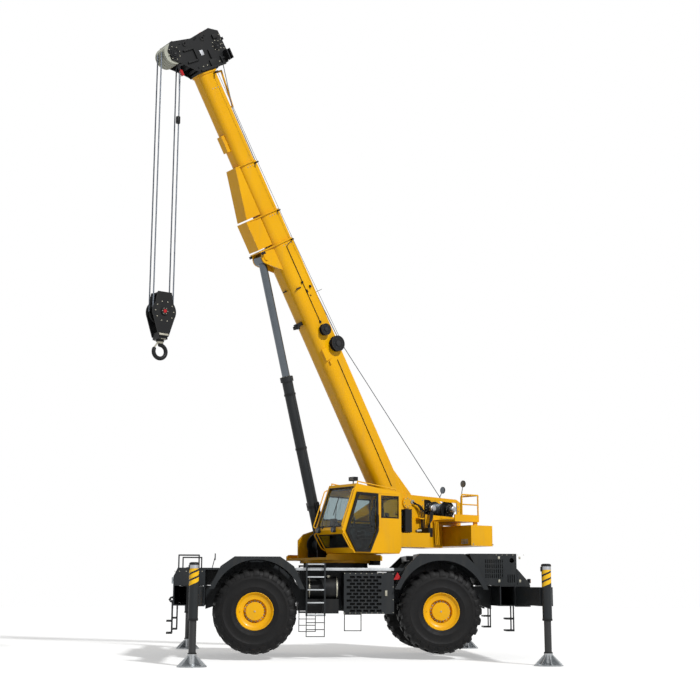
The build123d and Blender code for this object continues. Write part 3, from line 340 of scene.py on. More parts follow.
def makeStudio():
    world = bpy.data.worlds.new("studio")
    world.use_nodes = True
    tree = world.node_tree
    tree.nodes.clear()
    back = addNode(tree, "ShaderNodeBackground", {"Color": linear("#FFFFFF")},
                   {"Strength": whiteToViewer(tree, 1.0, studio["surround"])})
    addNode(tree, "ShaderNodeOutputWorld", links={"Surface": back.outputs[0]})
    bpy.context.scene.world = world
    for name in ("key", "fill"):
        lamp = bpy.data.lights.new(name, "SUN")
        lamp.energy, lamp.angle = studio[name]["strength"], math.radians(studio[name]["softness"])
        linked(name, lamp).rotation_euler = Vector(studio[name]["toward"]).to_track_quat("Z", "Y").to_euler()
    half = studio["floorHalf"]
    mesh = bpy.data.meshes.new("floor")
    mesh.from_pydata([(-half, -half, 0), (half, -half, 0), (half, half, 0), (-half, half, 0)], [],
                     [(0, 1, 2, 3)])
    floor = linked("floor", mesh)
    material, tree, coords = startMaterial("floor_matt_paint")
    tone = stained(tree, grainOf(tree, coords, 4000), "#F4F4F3", "#F1F1F0", 0, 1, 1)
    glow = whiteToViewer(tree, studio["floorGlow"], 0.0)
    finishMaterial(tree, {"Roughness": 0.9, "Specular IOR Level": 0.1, "Emission Color": linear("#FFFFFF")},
                   {"Base Color": tone, "Emission Strength": glow})
    mesh.materials.append(material)


makeCamera()
makeStudio()
bpy.context.scene.view_settings.view_transform = "Standard"
print("camera, floor and light ready")


def rounded(shape, edges, edge):
    each = list(dict.fromkeys(edges))  # an edge between two faces comes twice
    bmesh.ops.bevel(shape, geom=each, offset=edge, segments=2, affect="EDGES", profile=0.7)


def addBox(shape, low, high, edge=0.003):
    made = bmesh.ops.create_cube(shape, size=1)["verts"]
    for vert in made:
        vert.co = Vector([(a + b) / 2 + c * (b - a) for a, b, c in zip(low, high, vert.co)])
    if edge:
        rounded(shape, [e for v in made for e in v.link_edges], edge)


def addRod(shape, start, end, radius, sides=20):
    start, end = Vector(start), Vector(end)
    turn = (end - start).to_track_quat("Z", "Y").to_matrix().to_4x4()
    bmesh.ops.create_cone(shape, cap_ends=True, segments=sides, radius1=radius, radius2=radius,
                          depth=(end - start).length, matrix=Matrix.Translation((start + end) / 2) @ turn)


# rings of points joined one to the next, each ring closed
def addSkin(shape, rings):
    for near, far in zip(rings, rings[1:]):
        for k in range(len(near)):
            n = (k + 1) % len(near)
            shape.faces.new((near[k], near[n], far[n], far[k]))


def addPlate(shape, outline, low, high, edge=0.0):
    rings = [[shape.verts.new((x, y, z)) for x, z in outline] for y in (low, high)]
    faces = [shape.faces.new(rings[0]), shape.faces.new(rings[1][::-1])]
    for k in range(len(outline)):
        n = (k + 1) % len(outline)
        shape.faces.new((rings[0][n], rings[0][k], rings[1][k], rings[1][n]))
    if edge:
        rounded(shape, [e for f in faces for e in f.edges], edge)


def addLathe(shape, profile, place=None, sides=64):
    rings = []
    for k in range(sides):
        angle = 2 * math.pi * k / sides
        rings.append([shape.verts.new((r * math.cos(angle), y, r * math.sin(angle))) for r, y in profile])
    for near, far in zip(rings, rings[1:] + rings[:1]):
        for k in range(len(profile)):
            n = (k + 1) % len(profile)
            shape.faces.new((near[k], far[k], far[n], near[n]))
    if place is not None:
        bmesh.ops.transform(shape, matrix=place, verts=[v for ring in rings for v in ring])


# a flat ring round a window: its corners, then the same corners drawn in by the width
def addFrame(shape, corners, width, rise, sink=0.002):
    corners = [Vector(corner) for corner in corners]
    normal = (corners[1] - corners[0]).cross(corners[2] - corners[1]).normalized()
    inner = []
    for k, corner in enumerate(corners):
        back = (corners[k - 1] - corner).normalized()
        ahead = (corners[(k + 1) % len(corners)] - corner).normalized()
        inner.append(corner + (back + ahead) * (width / back.cross(ahead).length))
    rings = [[shape.verts.new(point + normal * height) for point in points]
             for points, height in ((corners, -sink), (corners, rise), (inner, rise), (inner, -sink))]
    addSkin(shape, rings + rings[:1])


def makeObject(name, shape, material, place=None, smooth=35):
    bmesh.ops.remove_doubles(shape, verts=shape.verts, dist=0.00001)
    bmesh.ops.recalc_face_normals(shape, faces=shape.faces)
    mesh = bpy.data.meshes.new(name)
    shape.to_mesh(mesh)
    shape.free()
    mesh.materials.append(material)
    if place is not None:
        mesh.transform(place)
    mesh.shade_smooth()
    mesh.set_sharp_from_angle(angle=math.radians(smooth))
    return linked(name, mesh)


def build(name, material, place, boxes=(), rods=(), plates=(), edge=0.003):
    shape = bmesh.new()
    for low, high in boxes:
        addBox(shape, low, high, edge)
    for start, end, radius in rods:
        addRod(shape, start, end, radius)
    for outline, low, high in plates:
        addPlate(shape, outline, low, high, edge)
    return makeObject(name, shape, material, place)


# profiles are (radius, along) pairs, turned about the y axis
def turned(name, material, place, profiles, spin=None, sides=48):
    shape = bmesh.new()
    for profile in profiles:
        addLathe(shape, profile, spin, sides)
    return makeObject(name, shape, material, place)


def fit(piece, body, slotName, *nodes):
    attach(piece, body)
    if nodes:
        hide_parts(*nodes)
    return piece


# a piece of boxes, rods and plates, attached to its body
def dress(body, slotName, *form, **options):
    return fit(build(*form, **options), body, slotName)


# the profile of a ring: an eight-sided section round a circle of the ring's radius
def ringProfile(radius, thickness):
    turns = [k * math.pi / 4 for k in range(8)]
    return [(radius + thickness * math.cos(turn), thickness * math.sin(turn)) for turn in turns]


def moved(piece, place):
    piece.data.transform(place)
    return piece


# the low and high y of what lies between near and far on one side
def across(side, near, far):
    return sorted((side * near, side * far))


def joinObjects(name, objects):
    whole = bmesh.new()
    materials = []
    for piece in objects:
        start = len(materials)
        materials += list(piece.data.materials)
        before = len(whole.faces)
        whole.from_mesh(piece.data)
        whole.faces.ensure_lookup_table()
        for face in whole.faces[before:]:
            face.material_index += start
        bpy.data.objects.remove(piece)
    mesh = bpy.data.meshes.new(name)
    whole.to_mesh(mesh)
    whole.free()
    for material in materials:
        mesh.materials.append(material)
    return linked(name, mesh)


def newTree(name, inputs):
    tree = bpy.data.node_groups.new(name, "GeometryNodeTree")
    tree.interface.new_socket("Geometry", in_out="OUTPUT", socket_type="NodeSocketGeometry")
    for label, kind in [("Geometry", "Geometry")] + inputs + [("Material", "Material")]:
        tree.interface.new_socket(label, in_out="INPUT", socket_type="NodeSocket" + kind)
    return tree, addNode(tree, "NodeGroupInput").outputs


def closeTree(tree, start, geometry):
    real = addNode(tree, "GeometryNodeRealizeInstances", links={"Geometry": geometry})
    painted = addNode(tree, "GeometryNodeSetMaterial",
                      links={"Geometry": real.outputs[0], "Material": start["Material"]})
    addNode(tree, "NodeGroupOutput", links={"Geometry": painted.outputs[0]})
    return tree


# copies of one shape, a step apart in a row or a turn apart in a ring
def copiesTree():
    tree, start = newTree("copies_along_or_around",
                          [("Count", "Int"), ("Step", "Vector"), ("Turn", "Vector")])
    line = addNode(tree, "GeometryNodeMeshLine", links={"Count": start["Count"], "Offset": start["Step"]})
    index = addNode(tree, "GeometryNodeInputIndex").outputs[0]
    angles = addNode(tree, "ShaderNodeVectorMath", links={0: start["Turn"], "Scale": index},
                     operation="SCALE")
    rotation = addNode(tree, "FunctionNodeEulerToRotation", links={"Euler": angles.outputs[0]})
    placed = addNode(tree, "GeometryNodeInstanceOnPoints",
                     links={"Points": line.outputs[0], "Instance": start["Geometry"],
                            "Rotation": rotation.outputs[0]})
    return closeTree(tree, start, placed.outputs[0])


# six strands laid round a curve: a twelve-sided section whose every other corner is dented, turned as it goes
def ropeTree():
    tree, start = newTree("laid_rope_along_curve", [("Radius", "Float"), ("Lay", "Float"), ("Dent", "Float")])
    step = addNode(tree, "ShaderNodeMath", {1: 10.0}, {0: start["Lay"]}, operation="DIVIDE")
    fine = addNode(tree, "GeometryNodeResampleCurve",
                   links={"Curve": start["Geometry"], "Length": step.outputs[0]}, mode="LENGTH")
    travelled = addNode(tree, "GeometryNodeSplineParameter").outputs["Length"]
    turns = addNode(tree, "ShaderNodeMath", links={0: travelled, 1: start["Lay"]}, operation="DIVIDE")
    angle = addNode(tree, "ShaderNodeMath", {1: 2 * math.pi}, {0: turns.outputs[0]}, operation="MULTIPLY")
    twisted = addNode(tree, "GeometryNodeSetCurveTilt",
                      links={"Curve": fine.outputs[0], "Tilt": angle.outputs[0]})
    ring = addNode(tree, "GeometryNodeCurvePrimitiveCircle", {"Resolution": 12}, {"Radius": start["Radius"]})
    index = addNode(tree, "GeometryNodeInputIndex").outputs[0]
    odd = addNode(tree, "ShaderNodeMath", {1: 2.0}, {0: index}, operation="MODULO")
    less = addNode(tree, "ShaderNodeMath", links={0: odd.outputs[0], 1: start["Dent"]}, operation="MULTIPLY")
    dent = addNode(tree, "ShaderNodeMath", {0: 1.0}, {1: less.outputs[0]}, operation="SUBTRACT").outputs[0]
    place = addNode(tree, "GeometryNodeInputPosition").outputs[0]
    lobed = addNode(tree, "ShaderNodeVectorMath", links={0: place, "Scale": dent}, operation="SCALE")
    strands = addNode(tree, "GeometryNodeSetPosition",
                      links={"Geometry": ring.outputs[0], "Position": lobed.outputs[0]})
    solid = addNode(tree, "GeometryNodeCurveToMesh", {"Fill Caps": True},
                    {"Curve": twisted.outputs[0], "Profile Curve": strands.outputs[0]})
    smooth = addNode(tree, "GeometryNodeSetShadeSmooth", links={"Geometry": solid.outputs[0]})
    return closeTree(tree, start, smooth.outputs[0])


copies = copiesTree()
laidRope = ropeTree()


def grow(piece, tree, values):
    modifier = piece.modifiers.new(tree.name, "NODES")
    modifier.node_group = tree
    for item in tree.interface.items_tree:
        if item.item_type == "SOCKET" and item.in_out == "INPUT" and item.name in values:
            modifier[item.identifier] = values[item.name]
    bpy.context.view_layer.update()
    mesh = bpy.data.meshes.new_from_object(piece.evaluated_get(bpy.context.evaluated_depsgraph_get()))
    name = piece.name
    bpy.data.objects.remove(piece)
    return linked(name, mesh)


def ringOf(piece, count, material):
    turn = (0, 2 * math.pi / count, 0)
    return grow(piece, copies, {"Count": count, "Step": (0, 0, 0), "Turn": turn, "Material": material})


def rowOf(piece, count, step, material):
    return grow(piece, copies, {"Count": count, "Step": step, "Turn": (0, 0, 0), "Material": material})


def makeLine(name, points, radius, material, smooth=True, lay=0.3, dent=0.0):
    curve = bpy.data.curves.new(name, "CURVE")
    curve.dimensions = "3D"
    spline = curve.splines.new("NURBS" if smooth else "POLY")
    spline.points.add(len(points) - 1)
    for point, co in zip(spline.points, points):
        point.co = (*co, 1)
    if smooth:
        spline.order_u, spline.use_endpoint_u = 3, True
    values = {"Radius": radius, "Lay": lay, "Dent": dent, "Material": material}
    return grow(linked(name, curve), laidRope, values)


# every bolt on a body is kept here, and joined to one piece at the end
hardware = {}


def hexBolt(size, height):
    shape = bmesh.new()
    addRod(shape, (0, -0.002, 0), (0, 0.004, 0), size * 1.15, 16)  # washer
    addRod(shape, (0, 0.003, 0), (0, height, 0), size, 6)
    return shape


def boltRing(body, place, ring, y, count, size, height, side=1):
    facing = Matrix.Identity(4) if side > 0 else Matrix.Rotation(math.pi, 4, "X")
    piece = makeObject("bolts", hexBolt(size, height), zincPlate, at(ring, y, 0) @ facing)
    hardware.setdefault(body, []).append(moved(ringOf(piece, count, zincPlate), place))


def boltRow(body, place, start, end, count, normal=(0, 1, 0), size=0.012, height=0.012):
    start, end, normal = Vector(start), Vector(end), Vector(normal)
    turn = Vector((0, 1, 0)).rotation_difference(normal).to_matrix().to_4x4()
    piece = makeObject("bolts", hexBolt(size, height), zincPlate, Matrix.Translation(start) @ turn)
    step = (end - start) / max(count - 1, 1)
    hardware.setdefault(body, []).append(moved(rowOf(piece, count, step, zincPlate), place))


print("tools ready")


tyre = {"radius": 0.9370, "carcass": 0.890, "half": 0.3740, "lugs": 24, "lugLead": 0.055, "lugThick": 0.058,
        "lugFoot": 0.075, "beadRadius": 0.4125, "beadHalf": 0.335}


def makeTyre():
    half, carcass, radius = tyre["half"], tyre["carcass"], tyre["radius"]
    bead, beadHalf = tyre["beadRadius"], tyre["beadHalf"]
    wall = [(bead + 0.003, 0.300), (bead, beadHalf - 0.012), (0.422, beadHalf), (0.440, 0.344),
            (0.452, 0.3445), (0.458, 0.352), (0.520, 0.366), (0.524, 0.3695), (0.534, 0.3700),
            (0.540, 0.3680), (0.640, half - 0.004), (0.700, half - 0.003), (0.706, half), (0.716, half),
            (0.722, half - 0.004), (0.790, 0.364), (0.845, 0.345), (0.874, 0.318), (carcass, 0.250),
            (carcass + 0.003, 0.1)]
    body = bmesh.new()
    addLathe(body, wall + [(r, -y) for r, y in reversed(wall)], sides=96)
    pieces = [makeObject("tyre", body, tyreRubber, smooth=28)]
    thick, foot, lead = tyre["lugThick"], tyre["lugFoot"], tyre["lugLead"]
    # a lug from the tread's middle to the shoulder: how far out, its foot, its top and how far it leads
    stations = ((0.022, carcass - 0.02, radius - 0.002, lead), (0.150, carcass - 0.03, radius, lead * 0.6),
                (0.262, carcass - 0.05, radius - 0.003, 0.0), (0.322, 0.835, radius - 0.030, -0.012),
                (0.352, 0.800, 0.868, -0.022), (half, 0.770, 0.800, -0.030))
    for side, shift in ((1, 0.0), (-1, 0.5)):  # the two rows stand half a step apart
        lug = bmesh.new()
        rings = []
        for y, low, high, ahead in stations:
            section = ((-foot, low), (foot, low), (thick, high - 0.006), (thick - 0.007, high),
                       (-thick + 0.007, high), (-thick, high - 0.006))
            rings.append([lug.verts.new((ahead + x, side * y, z)) for x, z in section])
        addSkin(lug, rings)
        lug.faces.new(rings[0])
        lug.faces.new(rings[-1])
        turn = Matrix.Rotation(2 * math.pi * shift / tyre["lugs"], 4, "Y")
        pieces.append(ringOf(makeObject("lug", lug, tyreRubber, turn, smooth=40), tyre["lugs"], tyreRubber))
    return joinObjects("tyre", pieces)


dish = {"flange": 0.4148, "half": 0.3395, "seat": 0.3945, "hubRadius": 0.205, "hubFace": 0.298,
        "groove": 0.262, "face": 0.262, "backRadius": 0.130, "nuts": 20, "nutRing": 0.222, "nutSize": 0.014,
        "nutHeight": 0.020}


def makeWheelDish():
    flange, half, seat, groove, face, back, hub, front = (
        dish[name] for name in ("flange", "half", "seat", "groove", "face", "backRadius", "hubRadius",
                                "hubFace"))
    rim = bmesh.new()
    addLathe(rim, [
        (seat - 0.022, half - 0.030), (flange - 0.010, half), (flange, half - 0.006), (flange, half - 0.018),
        (seat, half - 0.030), (seat - 0.006, 0.0), (seat, -half + 0.030), (flange, -half + 0.018),
        (flange, -half + 0.006), (flange - 0.010, -half), (seat - 0.022, -half + 0.030),
        (seat - 0.022, 0.140), (back, 0.140), (back, 0.160), (0.200, 0.160), (0.238, 0.166), (0.243, 0.180),
        (groove - 0.004, face - 0.006), (groove + 0.004, face), (0.292, face), (0.345, 0.282),
        (0.360, 0.290)], sides=96)
    cap = bmesh.new()
    addLathe(cap, [
        (pole, front + 0.002), (0.030, front + 0.002), (0.034, front - 0.001), (0.120, front - 0.004),
        (hub - 0.014, front - 0.008), (hub - 0.003, front - 0.016), (hub, 0.200), (hub, 0.050),
        (0.104, 0.050), (0.104, 0.231), (pole, 0.231)], sides=96)
    nut = hexBolt(dish["nutSize"], dish["nutHeight"])
    nut = makeObject("wheel_nuts", nut, zincPlate, at(dish["nutRing"], 0.160, 0))
    plug = bmesh.new()
    addRod(plug, (0, front - 0.004, 0), (0, front + 0.012, 0), 0.020, 6)
    valve = bmesh.new()
    addRod(valve, (0.318, 0.262, 0), (0.330, 0.315, 0), 0.005, 8)
    return joinObjects("wheel_dish", [
        makeObject("rim", rim, craneYellow, smooth=32), makeObject("hub_cap", cap, craneYellow, smooth=32),
        ringOf(nut, dish["nuts"], zincPlate), makeObject("oil_plug", plug, zincPlate),
        makeObject("valve", valve, blackPlastic)])


def fitWheels():
    sources = ((makeTyre(), "tyre", "tyre_rubber"), (makeWheelDish(), "rim", "crane_yellow"))
    for end in ends:
        low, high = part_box(f"{end}_tyre")
        outward = Matrix.Identity(4) if end.startswith("left") else Matrix.Rotation(math.pi, 4, "Z")
        place = Matrix.Translation((low + high) / 2) @ outward
        for source, part, slotName in sources:
            piece = linked(f"{end}_{part}_dressed", source.data.copy())
            fit(moved(piece, place), f"{end}_wheel", slotName, f"{end}_{part}")
    for source, part, slotName in sources:
        bpy.data.objects.remove(source)


fitWheels()
print("wheels fitted")

jack = {"tube": 0.1005, "stripes": 3, "stripeHeight": 0.088, "stripeStep": 0.128, "lowest": 1.700,
        "slant": 0.062, "wrap": 84, "steps": 28, "capTop": 2.092, "collar": 0.912,
        "bracket": ((0.095, -0.045, 1.93), (0.116, 0.045, 2.03)), "socketTop": 0.284}


# slanted bands of film on the outer side of the jack's tube, narrower at their ends
def addStripes(shape, side):
    tube = jack["tube"]
    for k in range(jack["stripes"]):
        rows = []
        for i in range(jack["steps"] + 1):
            share = i / jack["steps"] * 2 - 1
            angle = share * math.radians(jack["wrap"])
            half = 0.5 * jack["stripeHeight"] * (1 - max(0, abs(share) - 0.72) ** 2 * 9)
            x, y = -math.sin(angle) * side, math.cos(angle) * side
            z = jack["lowest"] + k * jack["stripeStep"] + jack["slant"] * share
            section = ((tube - 0.003, -half), (tube + 0.0008, -half), (tube + 0.0008, half),
                       (tube - 0.003, half))
            rows.append([shape.verts.new((x * r, y * r, z + h)) for r, h in section])
        addSkin(shape, rows)
        shape.faces.new(rows[0])
        shape.faces.new(rows[-1])


def fitOutriggers():
    top, foot, socket = jack["capTop"], jack["collar"], jack["socketTop"]
    capProfile = [(pole, top), (0.070, top), (0.095, top - 0.012), (0.106, top - 0.028),
                  (0.106, top - 0.052), (0.0995, top - 0.056), (0.0995, top - 0.070), (pole, top - 0.070)]
    bandProfile = [(0.099, top - 0.130), (0.1025, top - 0.128), (0.1025, top - 0.058), (0.099, top - 0.056)]
    collarProfile = [(0.078, foot), (0.104, foot + 0.004), (0.107, foot + 0.012), (0.107, foot + 0.044),
                     (0.1, foot + 0.050), (0.078, foot + 0.050)]
    socketProfile = [(pole, socket), (0.078, socket), (0.086, socket - 0.004), (0.094, socket - 0.014),
                     (0.094, socket - 0.028), (pole, socket - 0.028)]
    for end in ends:
        low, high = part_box(f"{end}_jack")
        centre = (low + high) / 2
        place = at(centre.x, centre.y, 0)
        stripes = bmesh.new()
        addStripes(stripes, 1 if centre.y > 0 else -1)
        collar = bmesh.new()
        addLathe(collar, collarProfile, upright, 48)
        addBox(collar, *jack["bracket"], 0.004)
        trim = [makeObject("stripes", stripes, stripeFilm, place),
                turned("cap", blackEnamel, place, [capProfile], upright),
                turned("band", anodisedAluminium, place, [bandProfile], upright),
                makeObject("collar", collar, blackEnamel, place)]
        fit(joinObjects(f"{end}_outrigger_trim", trim), f"{end}_outrigger", "charcoal_paint")
        fit(turned(f"{end}_float_socket", blackEnamel, place, [socketProfile], upright),
            f"{end}_jack_rod", "float_metal")


fitOutriggers()
print("outriggers dressed")

# points on the boom are (along, left, up) from its foot pin, and the drum's is on the upper works
rope = {"radius": 0.0105, "lay": 0.16, "dent": 0.22, "drum": (-3.390, 0.060, 3.692),
        "guide": (4.360, 0.060, 0.313),
        "tops": ((7.02, 0.165), (7.78, 0.160), (9.02, 0.155), (10.40, 0.160)),
        "headIn": (11.790, 0.060, 0.510), "leaves": 0.22, "cableRadius": 0.006, "cableOut": 0.352,
        "cableStops": ((4.360, 0.140), (7.02, 0.030), (7.78, 0.010), (9.02, -0.015), (11.30, -0.040)),
        "eyeReach": (0.290, 0.265, 0.240, 0.215)}
boomBodies = ["boom_base", "boom_inner_mid", "boom_outer_mid", "boom_fly"]


def makeRope(name, points, radius):
    return makeLine(name, points, radius, ropeWire, False, rope["lay"], rope["dent"])


# a taut stretch between two bodies that one joint joins
def fitSpan(name, start, end, radius):
    span = makeRope(name, [start, end], radius)
    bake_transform(span)


def fitRopes():
    radius, thin = rope["radius"], rope["cableRadius"]
    low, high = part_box("hoist_ropes")
    spots = {}  # the falls' corners in plan, one group for each fall
    for vert in frame["nodes"]["hoist_ropes"].data.vertices:
        local = tacklePlace.inverted() @ vert.co
        spots.setdefault((round(local.x / 0.1), local.y > 0), []).append(local)
    falls = []
    for group in spots.values():
        middle = sum(group, Vector()) / len(group)
        points = [tacklePlace @ Vector((middle.x, middle.y, z)) for z in (low.z, high.z)]
        falls.append(makeRope("fall", points, radius))
    fit(joinObjects("rope_falls", falls), "hook_tackle", "rope_steel", "hoist_ropes")
    drum, guide = upperPlace @ Vector(rope["drum"]), boomPlace @ Vector(rope["guide"])
    tops = [boomPlace @ Vector((x, rope["guide"][1], z)) for x, z in rope["tops"]]
    leaving = drum.lerp(guide, rope["leaves"])
    fitSpan("winch_rope_0", drum, leaving, radius)
    for k in range(3):
        fitSpan(f"winch_rope_{k + 1}", tops[k], tops[k + 1], radius)
    fit(makeRope("winch_rope_base", [leaving, guide, tops[0]], radius), "boom_base", "rope_steel")
    fit(makeRope("winch_rope_head", [tops[3], boomPlace @ Vector(rope["headIn"])], radius), "boom_fly",
        "rope_steel")
    y = rope["cableOut"]
    points = [boomPlace @ Vector((x, y, z)) for x, z in rope["cableStops"]]
    fit(makeRope("length_cable_base", points[:2], thin), "boom_base", "rope_steel")
    for k in range(3):
        fitSpan(f"length_cable_{k}", points[k + 1], points[k + 2], thin)
    for k, (body, reach) in enumerate(zip(boomBodies, rope["eyeReach"])):
        x, z = rope["cableStops"][k + 1]
        eye = ((x - 0.006, reach - 0.01, z - 0.022), (x + 0.030, y + 0.016, z + 0.022))
        dress(body, "charcoal_paint", f"cable_guide_{k}", blackEnamel, boomPlace, [eye], edge=0.004)


fitRopes()
print("ropes run")

# places on the upper works are (along, left, up) from the slewing axis and the ground
cab = {"near": 1.600, "far": 0.560, "mid": 1.080, "floor": 2.391, "rear": -0.700, "seat": 2.751,
       "doorOut": 1.640, "seal": 0.030, "sealRise": 0.006, "gasket": 0.062, "gasketRise": 0.004,
       "frontLow": (0.670, 2.350), "frontMid": (1.015, 2.855), "frontTop": (0.615, 3.905),
       "door": ((0.235, 2.375), (0, 2.850), (0.010, 3.695), (0.612, 3.715), (0.925, 2.830), (0.640, 2.375))}
steering = {"centre": (0.425, 3.045), "tilt": 70, "ring": 0.190, "grip": 0.014, "spoke": 0.010, "spokes": 3}
wiper = {"posts": ((0.86, -0.16, 0.52), (1.34, -0.20, 0.60)), "stand": 0.030, "blade": 0.30, "arm": 0.007}
cabLamps = {"lefts": (0.72, 1.30), "radius": 0.062, "lens": 0.052, "reach": 0.075}
grab = {"radius": 0.014, "stand": 0.055, "upper": (0.06, 0.10, 3.76, 3.80), "lower": (2.42, 2.46, 2.76, 2.80)}


# how far ahead the sloping front is at a height
def slopeAt(start, end, z):
    return start[0] + (end[0] - start[0]) * (z - start[1]) / (end[1] - start[1])


# a padded block: rounded all round, crowned on its flat side, with sewn channels across it
def makePad(name, low, high, crown, channels):
    shape = bmesh.new()
    bmesh.ops.create_cube(shape, size=2)
    bmesh.ops.subdivide_edges(shape, edges=shape.edges, cuts=23, use_grid_fill=True)
    low, high = Vector(low), Vector(high)
    half, middle = (high - low) / 2, (high + low) / 2
    flat = min(range(3), key=lambda k: half[k])
    run = 0 if flat == 2 else 2
    for vert in shape.verts:
        co = vert.co.copy()
        pull = sum(abs(c) ** 7 for c in co) ** (-1 / 7)
        rise = 1 - max(abs(co[k]) for k in range(3) if k != flat) ** 4
        groove = sum(math.exp(-((co[run] - channel) / 0.05) ** 2) for channel in channels) * rise
        size = Vector([c * pull * h for c, h in zip(co, half)])
        size[flat] *= 1 - crown + crown * rise - 0.16 * min(groove, 1)
        vert.co = middle + size
    return makeObject(name, shape, seatVinyl, upperPlace, 50)


def windowSeals():
    near, far, rear = cab["near"], cab["far"], cab["rear"]
    windows = []
    for start, end, low, high in ((cab["frontMid"], cab["frontTop"], 2.920, 3.840),
                                  (cab["frontLow"], cab["frontMid"], 2.470, 2.765)):
        windows.append([(slopeAt(start, end, z), y, z) for z, y in
                        ((low, far + 0.06), (low, near - 0.06), (high, near - 0.06), (high, far + 0.06))])
    windows.append([(-0.100, near, 3.150), (-0.100, near, 3.665), (-0.625, near, 3.665),
                    (-0.625, near, 3.150)])
    windows.append([(-0.600, far, 3.640), (0.620, far, 3.670), (0.830, far, 3.100), (-0.600, far, 3.100)])
    windows.append([(rear, far + 0.08, 3.100), (rear, far + 0.08, 3.640),
                    (rear, near - 0.08, 3.640), (rear, near - 0.08, 3.100)])
    seals = bmesh.new()
    for corners in windows:
        addFrame(seals, corners, cab["seal"], cab["sealRise"])
    return makeObject("window_seals", seals, sealRubber, upperPlace)


# wall linings, floor mat, roof console, seat base and armrests with their levers, all dark inside
def cabLining():
    near, far, mid, floor, seat = (cab[name] for name in ("near", "far", "mid", "floor", "seat"))
    inside, arm = cab["rear"] + 0.045, mid - 0.30
    boxes = [((inside, far + 0.045, floor), (inside + 0.02, near - 0.045, 3.08)),
             ((inside, far + 0.045, floor), (0.62, far + 0.065, 3.06)),
             ((inside + 0.02, near - 0.075, floor + 0.03), (-0.02, near - 0.045, 3.13)),
             ((-0.60, far + 0.08, floor), (0.60, near - 0.08, floor + 0.012)),
             ((0.42, far + 0.12, 3.78), (0.62, near - 0.12, 3.80)),
             ((-0.25, mid - 0.13, floor), (0.05, mid + 0.13, floor + 0.10)),
             ((-0.18, mid - 0.09, floor + 0.10), (0.0, mid + 0.09, seat - 0.06)),
             ((-0.30, mid - 0.19, seat - 0.06), (0.10, mid + 0.19, seat + 0.005))]
    boxes += [((-0.34, y, seat + 0.17), (0.06, y + 0.10, seat + 0.23)) for y in (mid - 0.35, mid + 0.25)]
    boxes += [((0.56, far + 0.06, 2.98), (0.62, far + 0.26, 3.14)),
              ((-0.47, mid - 0.14, seat + 0.68), (-0.39, mid + 0.14, seat + 0.86))]
    rods = [((0.02, y, seat + 0.22), (0.05, y, seat + 0.40), 0.012) for y in (mid + 0.30, arm)]
    rods += [((0.05, y, seat + 0.38), (0.055, y, seat + 0.44), 0.022) for y in (mid + 0.30, arm)]
    rods += [((0.56, mid, 2.70), (0.44, mid, 3.03), 0.025)]
    rods += [((-0.30, y, floor + 0.01), (-0.30, y, seat + 0.18), 0.02) for y in (arm, mid + 0.30)]
    return build("cab_lining", blackPlastic, upperPlace, boxes, rods, edge=0.008)


def steeringWheel():
    x, z = steering["centre"]
    ring, grip, spokes = steering["ring"], steering["grip"], steering["spokes"]
    place = at(x, cab["mid"], z) @ Matrix.Rotation(math.radians(steering["tilt"]), 4, "Y") @ upright
    wheel = bmesh.new()
    addLathe(wheel, ringProfile(ring, grip), place, 40)
    for k in range(spokes):
        turn = 2 * math.pi * k / spokes
        reach = ring - 0.005
        tip = place @ Vector((reach * math.cos(turn), 0, reach * math.sin(turn)))
        addRod(wheel, place @ Vector((0, 0, 0)), tip, steering["spoke"], 8)
    return makeObject("steering_wheel", wheel, blackPlastic, upperPlace)


def cabWipers():
    (lowX, lowZ), (topX, topZ) = cab["frontMid"], cab["frontTop"]
    slope = Vector((topX - lowX, 0, topZ - lowZ)).normalized()
    outward = Vector((slope.z, 0, -slope.x)) * wiper["stand"]
    blade = slope * wiper["blade"]
    rods = []
    for foot, sweep, reach in wiper["posts"]:
        base = Vector((lowX, foot, lowZ + 0.03)) + slope * 0.02
        tip = base + slope * reach + Vector((0, sweep, 0))
        rods += [(base, base + outward * 1.2, 0.018), (base + outward, tip + outward, wiper["arm"]),
                 (tip - blade + outward * 0.7, tip + blade * 0.6 + outward * 0.7, 0.009)]
    return build("wipers", blackPlastic, upperPlace, rods=rods)


